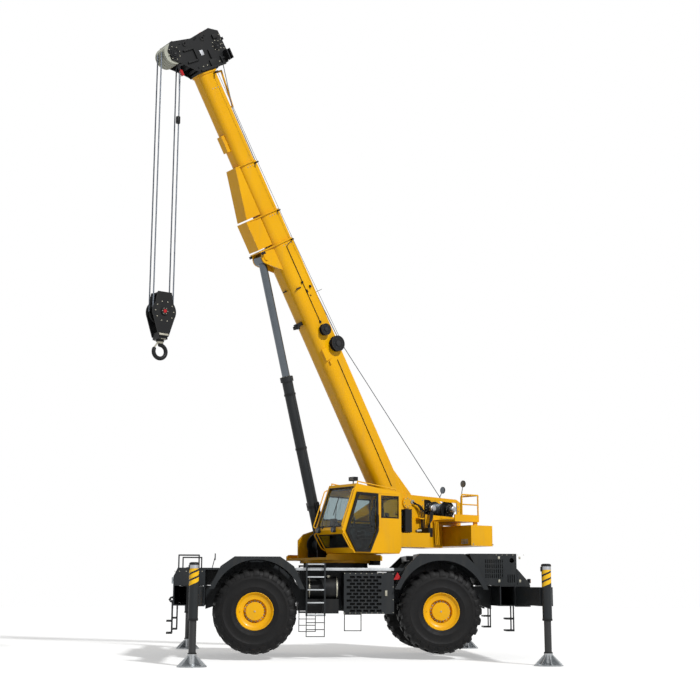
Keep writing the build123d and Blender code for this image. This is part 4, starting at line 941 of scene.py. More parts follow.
def fitCab():
    near, far, mid, seat = (cab[name] for name in ("near", "far", "mid", "seat"))
    gasket = bmesh.new()
    addFrame(gasket, [(x, cab["doorOut"], z) for x, z in cab["door"]], cab["gasket"], cab["gasketRise"])
    fit(makeObject("door_gasket", gasket, sealRubber, upperPlace), "cab_door_slider", "cab_plastic")
    cases, lenses = [], []
    for y in cabLamps["lefts"]:
        x, z, reach = cab["frontMid"][0] - 0.02, cab["frontMid"][1] + 0.005, cabLamps["reach"]
        cases.append(((x, y, z), (x + reach, y, z), cabLamps["radius"]))
        lenses.append(((x + reach - 0.001, y, z), (x + reach + 0.004, y, z), cabLamps["lens"]))
    trim = [windowSeals(), cabLining(), steeringWheel(), cabWipers(),
            build("cab_lamp_cases", blackPlastic, upperPlace, rods=cases)]
    dress("superstructure", "lamp_glass", "cab_lamp_lenses", clearLens, upperPlace, rods=lenses)
    fit(joinObjects("cab_trim", trim), "superstructure", "cab_plastic")
    rails = []
    stand, lowZ = grab["stand"], cab["frontMid"][1]
    heights = [grab["upper"][k] + (lowZ if k < 2 else 0) for k in range(4)]
    for y in (far - 0.030, near + 0.004):
        for start, end, levels in ((cab["frontMid"], cab["frontTop"], heights),
                                   (cab["frontLow"], cab["frontMid"], grab["lower"])):
            points = [(slopeAt(start, end, z) + reach, y, z) for z, reach in
                      zip(levels, (-0.01, stand, stand, -0.01))]
            rails.append(moved(makeLine("grab", points, grab["radius"], craneYellow, False), upperPlace))
    for box in (((-0.655, near - 0.002, 3.705), (0.615, near + 0.007, 3.735)),
                ((-0.60, near - 0.002, 2.362), (0.60, near + 0.007, 2.382))):
        rails.append(build("door_track", craneYellow, upperPlace, [box], edge=0.002))
    fit(joinObjects("cab_rails", rails), "superstructure", "crane_yellow")
    cushion = makePad("seat_cushion", (-0.355, mid - 0.225, seat + 0.004), (0.145, mid + 0.225, seat + 0.125),
                      0.22, (-0.35, 0.0, 0.35))
    rest = makePad("seat_backrest", (-0.470, mid - 0.205, seat + 0.05), (-0.352, mid + 0.205, seat + 0.68),
                   0.22, (-0.5, -0.15, 0.2, 0.55))
    for pad in (cushion, rest):
        fit(pad, "superstructure", "cab_plastic", "operator_chair")


fitCab()
print("cab dressed")

hoist = {"drums": (-2.650, -3.340), "up": 3.520, "radius": 0.150, "rope": 0.0105, "wraps": 20,
         "pitch": 0.0225, "firstWrap": -0.214, "flange": 0.317, "plateOut": 0.350, "footPin": (-1.910, 3.640)}
bank = {"first": (-1.9, 0.470), "step": (0.09, 0.03), "ports": 4}
walkway = {"start": (-3.520, 0.380, 3.2302), "end": (-3.506, 1.120, 3.238), "step": 0.0315, "treads": 24}
mirrors = {"radius": 0.078, "thick": 0.002, "faces": ((-3.0275, 0.420, 3.990), (-3.0075, 1.200, 4.100))}


def drumWraps():
    bend = hoist["radius"] + hoist["rope"] + 0.0005  # half a millimetre clear of the drum
    profile = ringProfile(bend, hoist["rope"])
    wraps = []
    for x in hoist["drums"]:
        coil = turned("coil", ropeWire, None, [profile], at(x, hoist["firstWrap"], hoist["up"]))
        wraps.append(moved(rowOf(coil, hoist["wraps"], (0, hoist["pitch"], 0), ropeWire), upperPlace))
    fit(joinObjects("drum_rope_wraps", wraps), "superstructure", "rope_steel")


def bankPorts():
    return [tuple(bank["first"][i] + bank["step"][i] * k for i in (0, 1)) for k in range(bank["ports"])]


# the hoses from the valve bank to the cab, from the upper frame to the manifold, and from the first motor
def upperHoses():
    out, first = hoist["plateOut"], hoist["drums"][0]
    routes = []
    for k, (x, y) in enumerate(bankPorts()):
        routes.append([(x, y, 2.96), (x, y, 3.16), (-1.62 + 0.05 * k, y, 3.26 - 0.03 * k),
                       (-1.28, y + 0.06, 3.12 - 0.07 * k), (-0.96, y + 0.10, 2.98 - 0.08 * k),
                       (-0.704, y + 0.14, 2.92 - 0.07 * k)])
    for k in range(3):
        routes.append([(-2.06 - 0.02 * k, out + 0.05, 3.66 - 0.03 * k), (-2.16 - 0.03 * k, out + 0.10, 3.62),
                       (-2.30 - 0.05 * k, out + 0.11, 3.44), (-2.33 - 0.05 * k, out + 0.08, 3.20),
                       (-2.34 - 0.04 * k, out + 0.06, 3.02)])
    for k in range(3):
        routes.append([(first + 0.03 * k, 0.47, hoist["up"] - 0.07),
                       (first + 0.05 * k, 0.50, hoist["up"] - 0.26), (-2.44, 0.54 + 0.03 * k, 3.10),
                       (-2.40, 0.58 + 0.04 * k, 3.02)])
    return [moved(makeLine("hose", points, 0.016, sealRubber), upperPlace) for points in routes]


def fitUpper():
    out, up = hoist["plateOut"], hoist["up"]
    drumWraps()
    flange = hoist["flange"]
    flangeProfile = [(pole, flange), (0.130, flange), (0.130, flange + 0.035), (0.112, flange + 0.043),
                     (0.112, flange + 0.078), (pole, flange + 0.078)]
    motorProfile = [(pole, flange + 0.078), (0.074, flange + 0.078), (0.078, flange + 0.085),
                    (0.078, flange + 0.183), (0.060, flange + 0.195), (0.060, flange + 0.218),
                    (pole, flange + 0.223)]
    flanges, motors = bmesh.new(), bmesh.new()
    for x in hoist["drums"]:
        addLathe(flanges, flangeProfile, at(x, 0, up), 32)
        addLathe(motors, motorProfile, at(x, 0, up), 32)
        boltRing("superstructure", upperPlace @ at(x, 0, up), 0.118, flange + 0.035, 10, 0.010, 0.010)
    footX, footZ = hoist["footPin"]
    boltRing("superstructure", upperPlace @ at(footX, 0, footZ), 0.105, out + 0.040, 8, 0.012, 0.012)
    ports = bankPorts()
    valves = build("valve_bank", blackEnamel, upperPlace, [
        ((-1.960, 0.420, 2.570), (-1.640, 0.640, 2.860)), ((-2.420, 0.348, 2.800), (-2.280, 0.740, 3.020)),
        ((-1.560, 0.380, 2.571), (-1.300, 0.560, 2.760)), ((-1.30, 0.348, 3.02), (-1.22, 0.42, 3.36)),
        ((-0.72, 0.60, 2.10), (-0.52, 0.80, 2.205))],
        [((x, y, 2.85), (x, y, 2.93), 0.022) for x, y in ports], edge=0.006)
    fittings = [((x, y, 2.92), (x, y, 2.98), 0.016) for x, y in ports]
    fittings += [((-2.06, out, 3.66), (-2.06, out + 0.06, 3.66), 0.05),
                 ((-2.10, 0.66, 2.95), (-1.95, 0.66, 2.93), 0.035)]
    nipples = build("hose_fittings", zincPlate, upperPlace, [((-1.62, 0.44, 2.90), (-1.50, 0.52, 2.98))],
                    fittings, edge=0.004)
    dark = [makeObject("motor_flanges", flanges, blackEnamel, upperPlace), valves] + upperHoses()
    tread = build("tread", galvanisedSteel, None, [(walkway["start"], walkway["end"])], edge=0.001)
    tread = rowOf(tread, walkway["treads"], (walkway["step"], 0, 0), galvanisedSteel)
    faces = [((x, y, z), (x + mirrors["thick"], y, z), mirrors["radius"]) for x, y, z in mirrors["faces"]]
    bright = [makeObject("hoist_motors", motors, anodisedAluminium, upperPlace), nipples,
              moved(tread, upperPlace), build("mirror_faces", hardChromePaintedDark, upperPlace, rods=faces)]
    stakes = [((-2.50 - 0.05 * k, 0.76, 2.60), (-2.48 - 0.05 * k, 0.74, 3.18), 0.014) for k in range(3)]
    dress("superstructure", "crane_yellow", "hose_clamps", craneYellow, upperPlace,
          [((-1.34, 0.42, 2.86), (-1.30, 0.72, 3.20)), ((-2.36, 0.352, 3.24), (-2.20, 0.50, 3.27))], stakes,
          edge=0.006)
    fit(joinObjects("hoist_drive_dark", dark), "superstructure", "cast_parts")
    fit(joinObjects("hoist_drive_bright", bright), "superstructure", "float_metal")
    dress("superstructure", "float_metal", "blank_plate", anodisedAluminium, upperPlace,
          [((-3.0985, 1.02, 2.64), (-3.0955, 1.26, 2.76))], edge=0.001)
    dress("superstructure", "lamp_glass", "work_light_lens", clearLens, upperPlace,
          [((0.429, 1.075, 4.010), (0.433, 1.255, 4.075))], edge=0.001)
    for start, end, count in (((-1.10, out, 3.00), (-1.75, out, 3.20), 5),
                              ((-2.43, out, 3.30), (-2.43, out, 3.72), 4),
                              ((-3.63, out, 3.16), (-3.63, out, 3.60), 5)):
        boltRow("superstructure", upperPlace, start, end, count)
    boltRow("superstructure", upperPlace, (-3.16, 1.381, 2.63), (-3.82, 1.381, 2.63), 2, size=0.016)


fitUpper()
print("upper works dressed")

# places on the lift cylinder are (along, left, up) from its foot pin
lift = {"barrel": 0.128, "end": 4.050,
        "bands": ((0.900, 0.07, 0.014), (2.30, 0.05, 0.012), (3.60, 0.05, 0.012)), "lugOut": 0.170,
        "hose": 0.014, "wiper": 0.118}


def fitLift():
    band, barrel, end = lift["bands"][0][0], lift["barrel"], lift["end"]
    bands = bmesh.new()
    for x, wide, proud in lift["bands"]:
        addLathe(bands, [(barrel - 0.004, x), (barrel + proud, x), (barrel + proud, x + wide),
                         (barrel - 0.004, x + wide)], lengthways, 48)
    hoses = []
    for side in bothSides:
        lug = side * lift["lugOut"]
        addBox(bands, (band - 0.06, lug - 0.030, -0.05), (band + 0.13, lug + 0.030, 0.05), 0.012)
        for k in range(2):
            y = side * (0.165 + 0.022 * k)
            points = [(band - 0.05, y, 0.02), (0.72, y + side * 0.02, 0.03), (0.48, y + side * 0.03, 0.10),
                      (0.30, y - side * 0.01, 0.19), (0.12, y - side * 0.05, 0.185)]
            hoses.append(moved(makeLine("lift_hose", points, lift["hose"], sealRubber), liftPlace))
    ports = build("lift_port_block", blackEnamel, liftPlace, [((0.02, -0.20, 0.165), (0.20, 0.20, 0.235))],
                  edge=0.008)
    bands = makeObject("barrel_bands", bands, blackEnamel, liftPlace)
    fit(joinObjects("barrel_trim", [bands, ports] + hoses), "lift_barrel", "cast_parts")
    lip = [(0.0975, end - 0.005), (lift["wiper"], end - 0.005), (lift["wiper"], end + 0.006),
           (0.104, end + 0.014), (0.0975, end + 0.014)]
    fit(turned("rod_wiper", sealRubber, liftPlace, [lip], lengthways), "lift_barrel", "cab_plastic")
    boltRing("lift_barrel", liftPlace @ lengthways, 0.136, end, 12, 0.009, 0.009)


# each section's half width, the height of its top and how far it reaches
sections = {"boom_base": (0.290, 0.100, 7.080), "boom_inner_mid": (0.265, 0.078, 7.840),
            "boom_outer_mid": (0.240, 0.056, 9.100), "boom_fly": (0.215, 0.034, 11.400)}
boom = {"collarInset": 0.10, "flyInset": 0.42, "guide": 4.360, "cable": 0.008, "cableOut": 0.012,
        "reels": ((4.750, -0.190, 0.140), (4.310, -0.030, 0.190)), "reelFace": 0.430,
        "noseLamps": (-0.255, 0.255)}


def reelFaces():
    face = boom["reelFace"]
    shape = bmesh.new()
    for x, z, radius in boom["reels"]:
        addLathe(shape, [(pole, face), (radius * 0.30, face), (radius * 0.34, face + 0.006),
                         (radius * 0.36, face + 0.016), (pole, face + 0.020)], at(x, 0, z), 32)
        addLathe(shape, [(radius - 0.012, face - 0.001), (radius + 0.001, face - 0.001),
                         (radius + 0.001, face + 0.006), (radius - 0.012, face + 0.006)], at(x, 0, z), 48)
        for k in range(6):
            spotX = x + radius * 0.62 * math.cos(math.pi / 3 * k)
            spotZ = z + radius * 0.62 * math.sin(math.pi / 3 * k)
            addBox(shape, (spotX - 0.016, face - 0.002, spotZ - 0.016),
                   (spotX + 0.016, face + 0.004, spotZ + 0.016))
    return makeObject("reel_faces", shape, blackPlastic, boomPlace)


def fitBoom():
    for body, (half, top, front) in sections.items():
        x = front - boom["flyInset" if body == "boom_fly" else "collarInset"]
        for side in bothSides:
            boltRow(body, boomPlace, (x, side * half, -0.02), (x, side * half, -0.26), 4, (0, side, 0),
                    0.011, 0.010)
        boltRow(body, boomPlace, (x, -half + 0.06, top), (x, half - 0.06, top), 4, (0, 0, 1), 0.011, 0.010)
    half, guide = sections["boom_base"][0], boom["guide"]
    wall = half - 0.002
    trim = [build("rope_guide", blackEnamel, boomPlace,
                  [((guide - 0.04, y, 0.095), (guide + 0.04, y + 0.012, 0.290)) for y in (-0.02, 0.128)],
                  [((guide, -0.02, 0.250), (guide, 0.14, 0.250), 0.050),
                   ((guide, -0.04, 0.250), (guide, 0.16, 0.250), 0.016),
                   ((5.640, 0.240, 0.098), (5.640, 0.270, 0.285), 0.006)]),
            reelFaces(),
            build("cable_holders", blackEnamel, boomPlace, [
                ((5.985, wall, -0.225), (6.025, half + 0.05, -0.185)),
                ((5.90, wall, -0.44), (5.93, half + 0.03, -0.30)),
                ((5.80, wall, -0.05), (5.86, half + 0.05, -0.02)),
                ((5.73, wall, -0.19), (5.80, half + 0.03, -0.15)),
                ((5.615, wall, -0.125), (5.645, half + 0.015, -0.100)),
                ((4.93, wall, -0.195), (4.985, half + 0.03, -0.15)),
                ((5.94, -0.03, -0.60), (5.97, 0.03, -0.515))]),
            build("boom_lamp", blackEnamel, boomPlace, [((5.06, -0.09, -0.66), (5.14, 0.09, -0.515))],
                  [((5.02, -0.05, -0.68), (5.10, -0.05, -0.66), 0.055),
                   ((5.02, 0.07, -0.70), (5.10, 0.07, -0.67), 0.055)])]
    dress("boom_base", "crane_yellow", "reel_bracket", craneYellow, boomPlace,
          [((3.93, wall, -0.40), (4.02, half + 0.035, -0.36)),
           ((4.05, wall, -0.47), (4.35, half + 0.02, -0.30))], edge=0.008)
    fit(joinObjects("boom_base_trim", trim), "boom_base", "cast_parts")
    nose = [((7.0505, y - 0.035, -0.900), (7.0535, y + 0.035, -0.830)) for y in boom["noseLamps"]]
    dress("boom_base", "lamp_glass", "nose_lamp_lenses", clearLens, boomPlace, nose, edge=0.001)
    y = half + boom["cableOut"]
    cables = []
    for stops in (((7.000, -0.030), (6.940, -0.190), (6.00, -0.185), (4.98, -0.172)),
                  ((3.95, -0.152), (2.20, -0.165), (0.55, -0.180))):
        points = [(x, y, z) for x, z in stops]
        cables.append(moved(makeLine("cable", points, boom["cable"], sealRubber, False), boomPlace))
    fit(joinObjects("boom_cable", cables), "boom_base", "cab_plastic")


fitLift()
fitBoom()
print("lift cylinder and boom dressed")

# the nose pin is below, and the top pin above; profiles give radius and height over the side plate
head = {"plateOut": 0.246, "nosePin": (12.020, -0.880), "topPin": (11.900, 0.330), "topScale": 0.8,
        "boss": ((0.030, 0.030), (0.048, 0.030), (0.052, 0.018), (0.075, 0.018), (0.079, 0.026),
                 (0.088, 0.026), (0.092, 0.012), (0.112, 0.012), (0.116, 0.020), (0.126, 0.020),
                 (0.130, -0.004)),
        "ribRise": 0.036, "wire": 0.005}
# on both side plates: (along, up) corners
headRibs = (((11.560, 0.300), (11.600, 0.500)), ((11.460, 0.280), (11.640, 0.310)),
            ((11.700, -0.360), (11.990, -0.320)), ((11.690, -0.640), (11.730, -0.330)),
            ((11.975, -0.640), (12.015, -0.330)), ((11.470, -0.060), (11.620, 0.160)),
            ((11.660, 0.020), (11.860, 0.060)), ((12.060, 0.300), (12.160, 0.440)),
            ((11.420, -0.380), (11.470, 0.360)))
# it hangs below the nose, and its weight sits on the tackle
limitSwitch = {"chainTop": (11.600, 0.200, -0.945), "chainLow": (-0.232, 0.130, 12.170), "chain": 0.006,
               "weight": (-0.232, 0.090, 12.090), "radius": 0.052, "half": 0.080}


def headPins():
    out = head["plateOut"]
    shape = bmesh.new()
    for side in bothSides:
        facing = Matrix.Identity(4) if side > 0 else Matrix.Rotation(math.pi, 4, "X")
        for (x, z), scale in ((head["nosePin"], 1.0), (head["topPin"], head["topScale"])):
            boss = [(radius * scale, out + rise) for radius, rise in head["boss"]]
            place = at(x, 0, z) @ facing
            addLathe(shape, [(pole, out + 0.018)] + boss + [(pole, out - 0.004)], place, 40)
            boltRing("boom_fly", boomPlace @ place, 0.150 * scale, out - 0.001, 8, 0.010, 0.012)
    return makeObject("sheave_pin_plates", shape, blackEnamel, boomPlace)


def headCheeks():
    out, (x, z) = head["plateOut"], head["nosePin"]
    ribs = []
    for side in bothSides:
        low, high = across(side, out - 0.002, out + head["ribRise"])
        ribs += [((x0, low, z0), (x1, high, z1)) for (x0, z0), (x1, z1) in headRibs]
    ribs += [((11.500, -out, -0.440), (11.560, out, -0.400)),
             ((11.470, -0.200, 0.090), (11.600, 0.200, 0.190)),
             ((12.150, -out, -0.240), (12.200, out, -0.180)), ((11.985, -out, 0.560), (12.050, out, 0.600)),
             ((11.62, -0.16, -0.56), (11.80, 0.16, -0.34))]
    # bars that keep the rope on its sheaves: along, up, past the plates and radius
    bars = [((barX, -out - past, barZ), (barX, out + past, barZ), radius) for barX, barZ, past, radius in (
        (12.215, -0.150, 0.02, 0.020), (12.200, 0.100, 0.02, 0.016), (x + 0.262, z + 0.060, 0.01, 0.014),
        (x + 0.150, z + 0.220, 0, 0.014), (11.72, 0.515, 0.06, 0.020))]
    return build("head_ribs", blackEnamel, boomPlace, ribs, bars, edge=0.006)


def fitLimitSwitch():
    dress("boom_fly", "cab_plastic", "limit_switch", redLens, boomPlace,
          [((11.470, 0.225, -0.955), (11.600, 0.285, -0.900))],
          [((11.600, 0.262, -0.925), (11.625, 0.262, -0.925), 0.012)], edge=0.006)
    dress("boom_fly", "cast_parts", "switch_arm", blackEnamel, boomPlace,
          [((11.590, 0.222, -0.950), (11.760, 0.244, -0.900)),
           ((11.700, 0.222, -0.950), (11.740, 0.244, -0.740))])
    top = boomPlace @ Vector(limitSwitch["chainTop"])
    low = tacklePlace @ Vector(limitSwitch["chainLow"])
    fitSpan("switch_chain", top, low, limitSwitch["chain"])
    radius, half = limitSwitch["radius"], limitSwitch["half"]
    weight = bmesh.new()
    addLathe(weight, [(0.014, -half), (radius - 0.006, -half), (radius, -half + 0.010),
                      (radius, half - 0.010), (radius - 0.006, half), (0.014, half)],
             at(*limitSwitch["weight"]) @ upright, 32)
    addBox(weight, (-0.240, 0.120, 12.140), (-0.224, 0.142, 12.180), 0.003)
    fit(makeObject("switch_weight", weight, blackEnamel, tacklePlace), "hook_tackle", "cast_parts")


def fitHead():
    out, (x, z) = head["plateOut"], head["nosePin"]
    fit(joinObjects("boom_head_trim", [headPins(), headCheeks()]), "boom_fly", "cast_parts")
    for side in bothSides:
        y, normal = side * out, (0, side, 0)
        boltRow("boom_fly", boomPlace, (11.53, y, -0.28), (11.53, y, 0.22), 5, normal, 0.012, 0.012)
        boltRow("boom_fly", boomPlace, (11.68, y, 0.50), (12.12, y, 0.50), 5, normal, 0.010, 0.010)
    dress("boom_fly", "float_metal", "head_blank_plate", anodisedAluminium, boomPlace,
          [((11.78, out - 0.001, -0.200), (11.90, out + 0.004, -0.110))], edge=0.001)
    routes = [[(x + 0.235, 0.10, z + 0.12), (12.290, 0.10, -0.62), (12.262, 0.09, -0.44),
               (12.214, 0.08, -0.17)],
              [(12.214, 0.12, -0.13), (12.330, 0.10, 0.10), (12.310, 0.08, 0.30), (12.180, 0.06, 0.50)]]
    wires = [moved(makeLine("signal_wire", points, head["wire"], redLens), boomPlace) for points in routes]
    fit(joinObjects("head_signal_wires", wires), "boom_fly", "cab_plastic")


# heights over the ground, and half widths
block = {"centre": 7.560, "cheek": 0.165, "hub": 0.190, "outerBolts": (0.225, 10, 0.012, 0.014),
         "innerBolts": (0.066, 6, 0.009, 0.010), "cap": 0.040, "hookTop": 6.935, "bowl": 6.675}


def fitHook():
    centre, cheek, hub, bowl = block["centre"], block["cheek"], block["hub"], block["bowl"]
    for side in bothSides:
        for out, (ring, count, size, height) in ((cheek, block["outerBolts"]), (hub, block["innerBolts"])):
            place = tacklePlace @ at(0, 0, centre)
            boltRing("hook_tackle", place, ring, side * (out - 0.001), count, size, height, side)
    caps = [((0, side * (hub - 0.002), centre), (0, side * (hub + 0.008), centre), block["cap"])
            for side in bothSides]
    dress("hook_tackle", "cab_plastic", "block_pin_caps", redLens, tacklePlace, rods=caps)
    keepers = [((-0.115, side * 0.166 - 0.006, 7.02), (0.115, side * 0.166 + 0.006, 7.06))
               for side in bothSides]
    keepers += [((-0.060, -0.164, 6.936), (0.060, 0.164, 6.944))]
    dress("hook_tackle", "float_metal", "block_keepers", zincPlate, tacklePlace, keepers)
    latch = [(0.036, bowl + 0.202), (0.060, bowl + 0.206), (0.158, bowl + 0.080), (0.136, bowl + 0.066)]
    pin = ((0.048, -0.050, bowl + 0.195), (0.048, 0.050, bowl + 0.195), 0.011)
    dress("hook_swivel", "float_metal", "hook_latch", zincPlate, tacklePlace, rods=[pin],
          plates=[(latch, -0.022, 0.022)], edge=0.002)
    collar = [(0.046, -0.055), (0.070, -0.055), (0.076, -0.045), (0.076, -0.012), (0.046, -0.012)]
    spin = tacklePlace @ at(0, 0, block["hookTop"] - 0.03) @ upright
    fit(turned("hook_nut", zincPlate, None, [collar], spin, 32), "hook_swivel", "float_metal")


fitHead()
fitLimitSwitch()
fitHook()
print("boom head and hook block dressed")

# places on the carrier are (forward, left, up) from the middle of the ground below it
carrier = {"half": 1.500, "edgeStrip": ((-1.200, 1.957), (1.020, 2.018)), "hoodHalf": 1.440,
           "fenderHalf": 1.450}
ladder = {"rear": 0.350, "front": 0.790, "near": 1.505, "far": 1.615, "low": 0.994, "high": 2.120, "rungs": 5}
cooler = {"rear": -0.960, "front": -0.070, "low": 1.004, "high": 1.915, "frame": 0.027, "fins": 60,
          "finStep": 0.01405, "tubes": 19, "tubeStep": 0.044}
lamps = {"front": 3.730, "up": 1.730, "lefts": (0.980, 1.180), "radius": 0.064, "tail": -4.330,
         "case": (1.180, 1.400), "red": 1.190, "amber": 1.295, "wide": 0.090}
wheelHouse = {"arches": (1.876, -2.277), "out": 0.458, "thick": 0.012, "low": 1.600, "shoulder": 1.950,
              "high": 2.214, "widths": (0.95, 0.80, 0.58), "ribs": 4, "ribStep": 0.36, "ribOut": 0.045}
beam = {"boxes": (3.380, -3.980), "shift": 0.170, "half": 0.145, "low": 1.215, "high": 1.605, "play": 0.0015,
        "gap": 0.0098, "pad": (1.360, 1.445)}
tank = {"rear": 0.040, "front": 0.740, "left": 1.180, "up": 1.560, "radius": 0.250}
fuelCap = {"along": 0.540, "up": 1.700, "out": 1.560, "grips": 8}


def deckEdgeAndTreads():
    half, (start, end) = carrier["half"], carrier["edgeStrip"]
    shape = bmesh.new()
    for side in bothSides:
        low, high = across(side, half - 0.002, half + 0.003)
        addBox(shape, (start[0], low, start[1]), (end[0], high, end[1]), 0.001)
    rear, front, near, far = ladder["rear"] + 0.036, ladder["front"] - 0.036, ladder["near"], ladder["far"]
    step = (ladder["high"] - ladder["low"]) / (ladder["rungs"] - 1)
    for side in bothSides:
        for k in range(ladder["rungs"]):
            z = ladder["low"] + k * step - (0.017 if k else 0.0)
            for inner, outer, drop, rise in ((near + 0.004, near + 0.022, 0, 0.006),
                                             (far - 0.022, far - 0.004, 0, 0.006),
                                             (far - 0.001, far + 0.002, 0.022, 0.004)):
                low, high = across(side, inner, outer)
                addBox(shape, (rear, low, z - drop), (front, high, z + rise), 0.001)
    fit(makeObject("deck_edge_and_treads", shape, galvanisedSteel), "carrier", "float_metal")


def coolerCore():
    half, frame = carrier["half"], cooler["frame"]
    rear, front = cooler["rear"] + frame, cooler["front"] - frame
    low, high = cooler["low"], cooler["high"]
    fin = build("fin", blackEnamel, None,
                [((rear, half - 0.098, low + frame), (rear + 0.004, half - 0.036, high - frame))],
                edge=0.0005)
    tubes = []
    for k in range(cooler["tubes"]):
        z = low + 0.040 + cooler["tubeStep"] * k
        tubes.append(((rear, half - 0.098, z), (front, half - 0.060, z + 0.020)))
    fins = rowOf(fin, cooler["fins"], (cooler["finStep"], 0, 0), blackEnamel)
    tubes = build("cooler_tubes", blackEnamel, carrierPlace, tubes)
    fit(joinObjects("cooler_core", [fins, tubes]), "carrier", "cast_parts")
    rear, front = cooler["rear"], cooler["front"]
    for start, end, count in (((rear + 0.012, half, high - 0.02), (front - 0.012, half, high - 0.02), 8),
                              ((rear + 0.012, half, low + 0.02), (front - 0.012, half, low + 0.02), 8),
                              ((rear - 0.22, half - 0.01, high - 0.03),
                               (rear - 0.22, half - 0.01, low + 0.03), 4)):
        boltRow("carrier", carrierPlace, start, end, count, size=0.008, height=0.006)


def hoodLatches():
    half, out = carrier["half"], carrier["hoodHalf"]
    latches = [((-1.045, half - 0.012, 1.40), (-0.995, half + 0.012, 1.52))]
    for side in bothSides:
        low, high = across(side, out - 0.002, out + 0.014)
        for x, z in ((-4.10, 2.26), (-3.62, 2.26), (-4.10, 1.74), (-3.62, 1.74)):
            latches.append(((x - 0.022, low, z - 0.030), (x + 0.022, high, z + 0.030)))
        y, normal = side * out, (0, side, 0)
        for x in (-4.20, -3.95, -3.70):
            boltRow("carrier", carrierPlace, (x, y, 2.325), (x + 0.14, y, 2.325), 2, normal, 0.008, 0.006)
        y = side * carrier["fenderHalf"]
        for x in (3.10, 3.35, 3.60):
            boltRow("carrier", carrierPlace, (x, y, 1.93), (x + 0.1, y, 1.93), 2, normal, 0.010, 0.008)
    dress("carrier", "float_metal", "hood_latches", zincPlate, carrierPlace, latches, edge=0.004)


def carrierLamps():
    x, z, tail = lamps["front"] + 0.0445, lamps["up"], lamps["tail"]
    lenses = [((x, side * y, z), (x + 0.003, side * y, z), lamps["radius"]) for side in bothSides
              for y in lamps["lefts"]]
    dress("carrier", "lamp_glass", "headlamp_lenses", clearLens, carrierPlace, rods=lenses)
    cases = [across(side, *lamps["case"]) for side in bothSides]
    cases = [((tail - 0.030, low, 1.690), (tail + 0.002, high, 1.790)) for low, high in cases]
    dress("carrier", "cab_plastic", "tail_lamp_bodies", blackPlastic, carrierPlace, cases, edge=0.008)
    for name, lens, start in (("tail_lamp_lenses", redLens, lamps["red"]),
                              ("turn_lamp_lenses", amberLens, lamps["amber"])):
        spans = [across(side, start, start + lamps["wide"]) for side in bothSides]
        faces = [((tail - 0.036, low, 1.700), (tail - 0.026, high, 1.780)) for low, high in spans]
        dress("carrier", "cab_plastic", name, lens, carrierPlace, faces, edge=0.006)


def wheelHouseWalls():
    y, low, high, thick = (wheelHouse[name] for name in ("out", "low", "high", "thick"))
    foot, shoulder, top = wheelHouse["widths"]
    walls, boxes = [], []
    for centre in wheelHouse["arches"]:
        corners = ((-foot, low), (-shoulder, wheelHouse["shoulder"]), (-top, high), (top, high),
                   (shoulder, wheelHouse["shoulder"]), (foot, low))
        outline = [(centre + x, z) for x, z in corners]
        for side in bothSides:
            walls.append((outline, *across(side, y, y + thick)))
            near, far = across(side, y, y + wheelHouse["ribOut"])
            for k in range(wheelHouse["ribs"]):
                rib = centre - 0.55 + wheelHouse["ribStep"] * k
                boxes.append(((rib, near, low), (rib + 0.02, far, high - 0.03)))
        boxes.append(((centre - top, -y - thick, high - thick), (centre + top, y + thick, high)))
    dress("carrier", "charcoal_paint", "wheel_house_walls", charcoalEnamel, carrierPlace, boxes,
          plates=walls, edge=0.004)


# wear pads on all four sides of each beam, where it leaves its box
def beamWearPads():
    half, play, gap, z0, z1 = (beam[name] for name in ("half", "play", "gap", "low", "high"))
    pads = []
    for boxX in beam["boxes"]:
        for side in bothSides:
            x0, x1 = boxX - side * beam["shift"] - half, boxX - side * beam["shift"] + half
            near, far = across(side, *beam["pad"])
            pads += [((x0 + 0.01, near, z1 + play), (x1 - 0.01, far, z1 + gap)),
                     ((x0 + 0.01, near, z0 - gap), (x1 - 0.01, far, z0 - play)),
                     ((x0 - gap, near, z0 + 0.01), (x0 - play, far, z1 - 0.01)),
                     ((x1 + play, near, z0 + 0.01), (x1 + gap, far, z1 - 0.01))]
    dress("carrier", "cab_plastic", "beam_wear_pads", blackPlastic, carrierPlace, pads, edge=0.001)


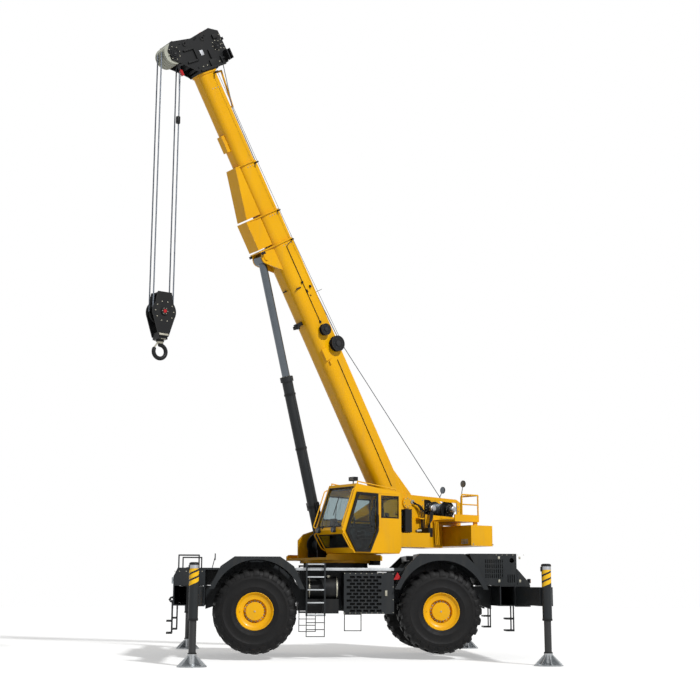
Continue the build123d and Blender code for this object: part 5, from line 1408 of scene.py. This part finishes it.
def tankTrim():
    y, z, radius = tank["left"], tank["up"], tank["radius"]
    shape = bmesh.new()
    for x in (tank["rear"] + 0.020, tank["front"] - 0.060):
        addLathe(shape, [(radius + 0.016, x + 0.008), (radius + 0.021, x + 0.008),
                         (radius + 0.021, x + 0.032), (radius + 0.016, x + 0.032)],
                 at(0, y, z) @ lengthways, 48)
        addBox(shape, (x + 0.004, y + radius - 0.01, z - 0.03), (x + 0.036, y + radius + 0.032, z + 0.03),
               0.004)
    filler, breather = tank["rear"] + 0.22, tank["rear"] + 0.40
    addRod(shape, (filler, y, z + radius - 0.01), (filler, y, z + radius + 0.045), 0.055, 32)
    addRod(shape, (breather, y, z + radius - 0.01), (breather, y, z + radius + 0.030), 0.022, 20)
    fit(makeObject("tank_bands_and_caps", shape, zincPlate), "carrier", "float_metal")
    x, z, out = fuelCap["along"], fuelCap["up"], fuelCap["out"]
    shape = bmesh.new()
    addLathe(shape, [(pole, out), (0.030, out), (0.034, out - 0.008), (0.048, out - 0.008),
                     (0.052, out - 0.014), (0.052, out - 0.036), (pole, out - 0.036)],
             at(x, 0, z) @ Matrix.Rotation(math.pi, 4, "X"), 32)
    for k in range(fuelCap["grips"]):
        turn = 2 * math.pi / fuelCap["grips"] * k
        gripX, gripZ = x + 0.050 * math.cos(turn), z + 0.050 * math.sin(turn)
        addBox(shape, (gripX - 0.006, 0.004 - out, gripZ - 0.006),
               (gripX + 0.006, 0.034 - out, gripZ + 0.006), 0.002)
    fit(makeObject("fuel_cap", shape, zincPlate), "carrier", "float_metal")


deckEdgeAndTreads()
coolerCore()
hoodLatches()
carrierLamps()
wheelHouseWalls()
beamWearPads()
reflector = ([(-1.370, 1.760), (-1.190, 1.760), (-1.280, 1.930)], carrier["half"] - 0.012,
             carrier["half"] + 0.010)
dress("carrier", "cab_plastic", "side_reflector", redLens, carrierPlace, plates=[reflector], edge=0.004)
tankTrim()
for body, pieces in hardware.items():
    fit(joinObjects(f"{body}_bolts", pieces), body, "float_metal")
print("carrier dressed and bolts joined")
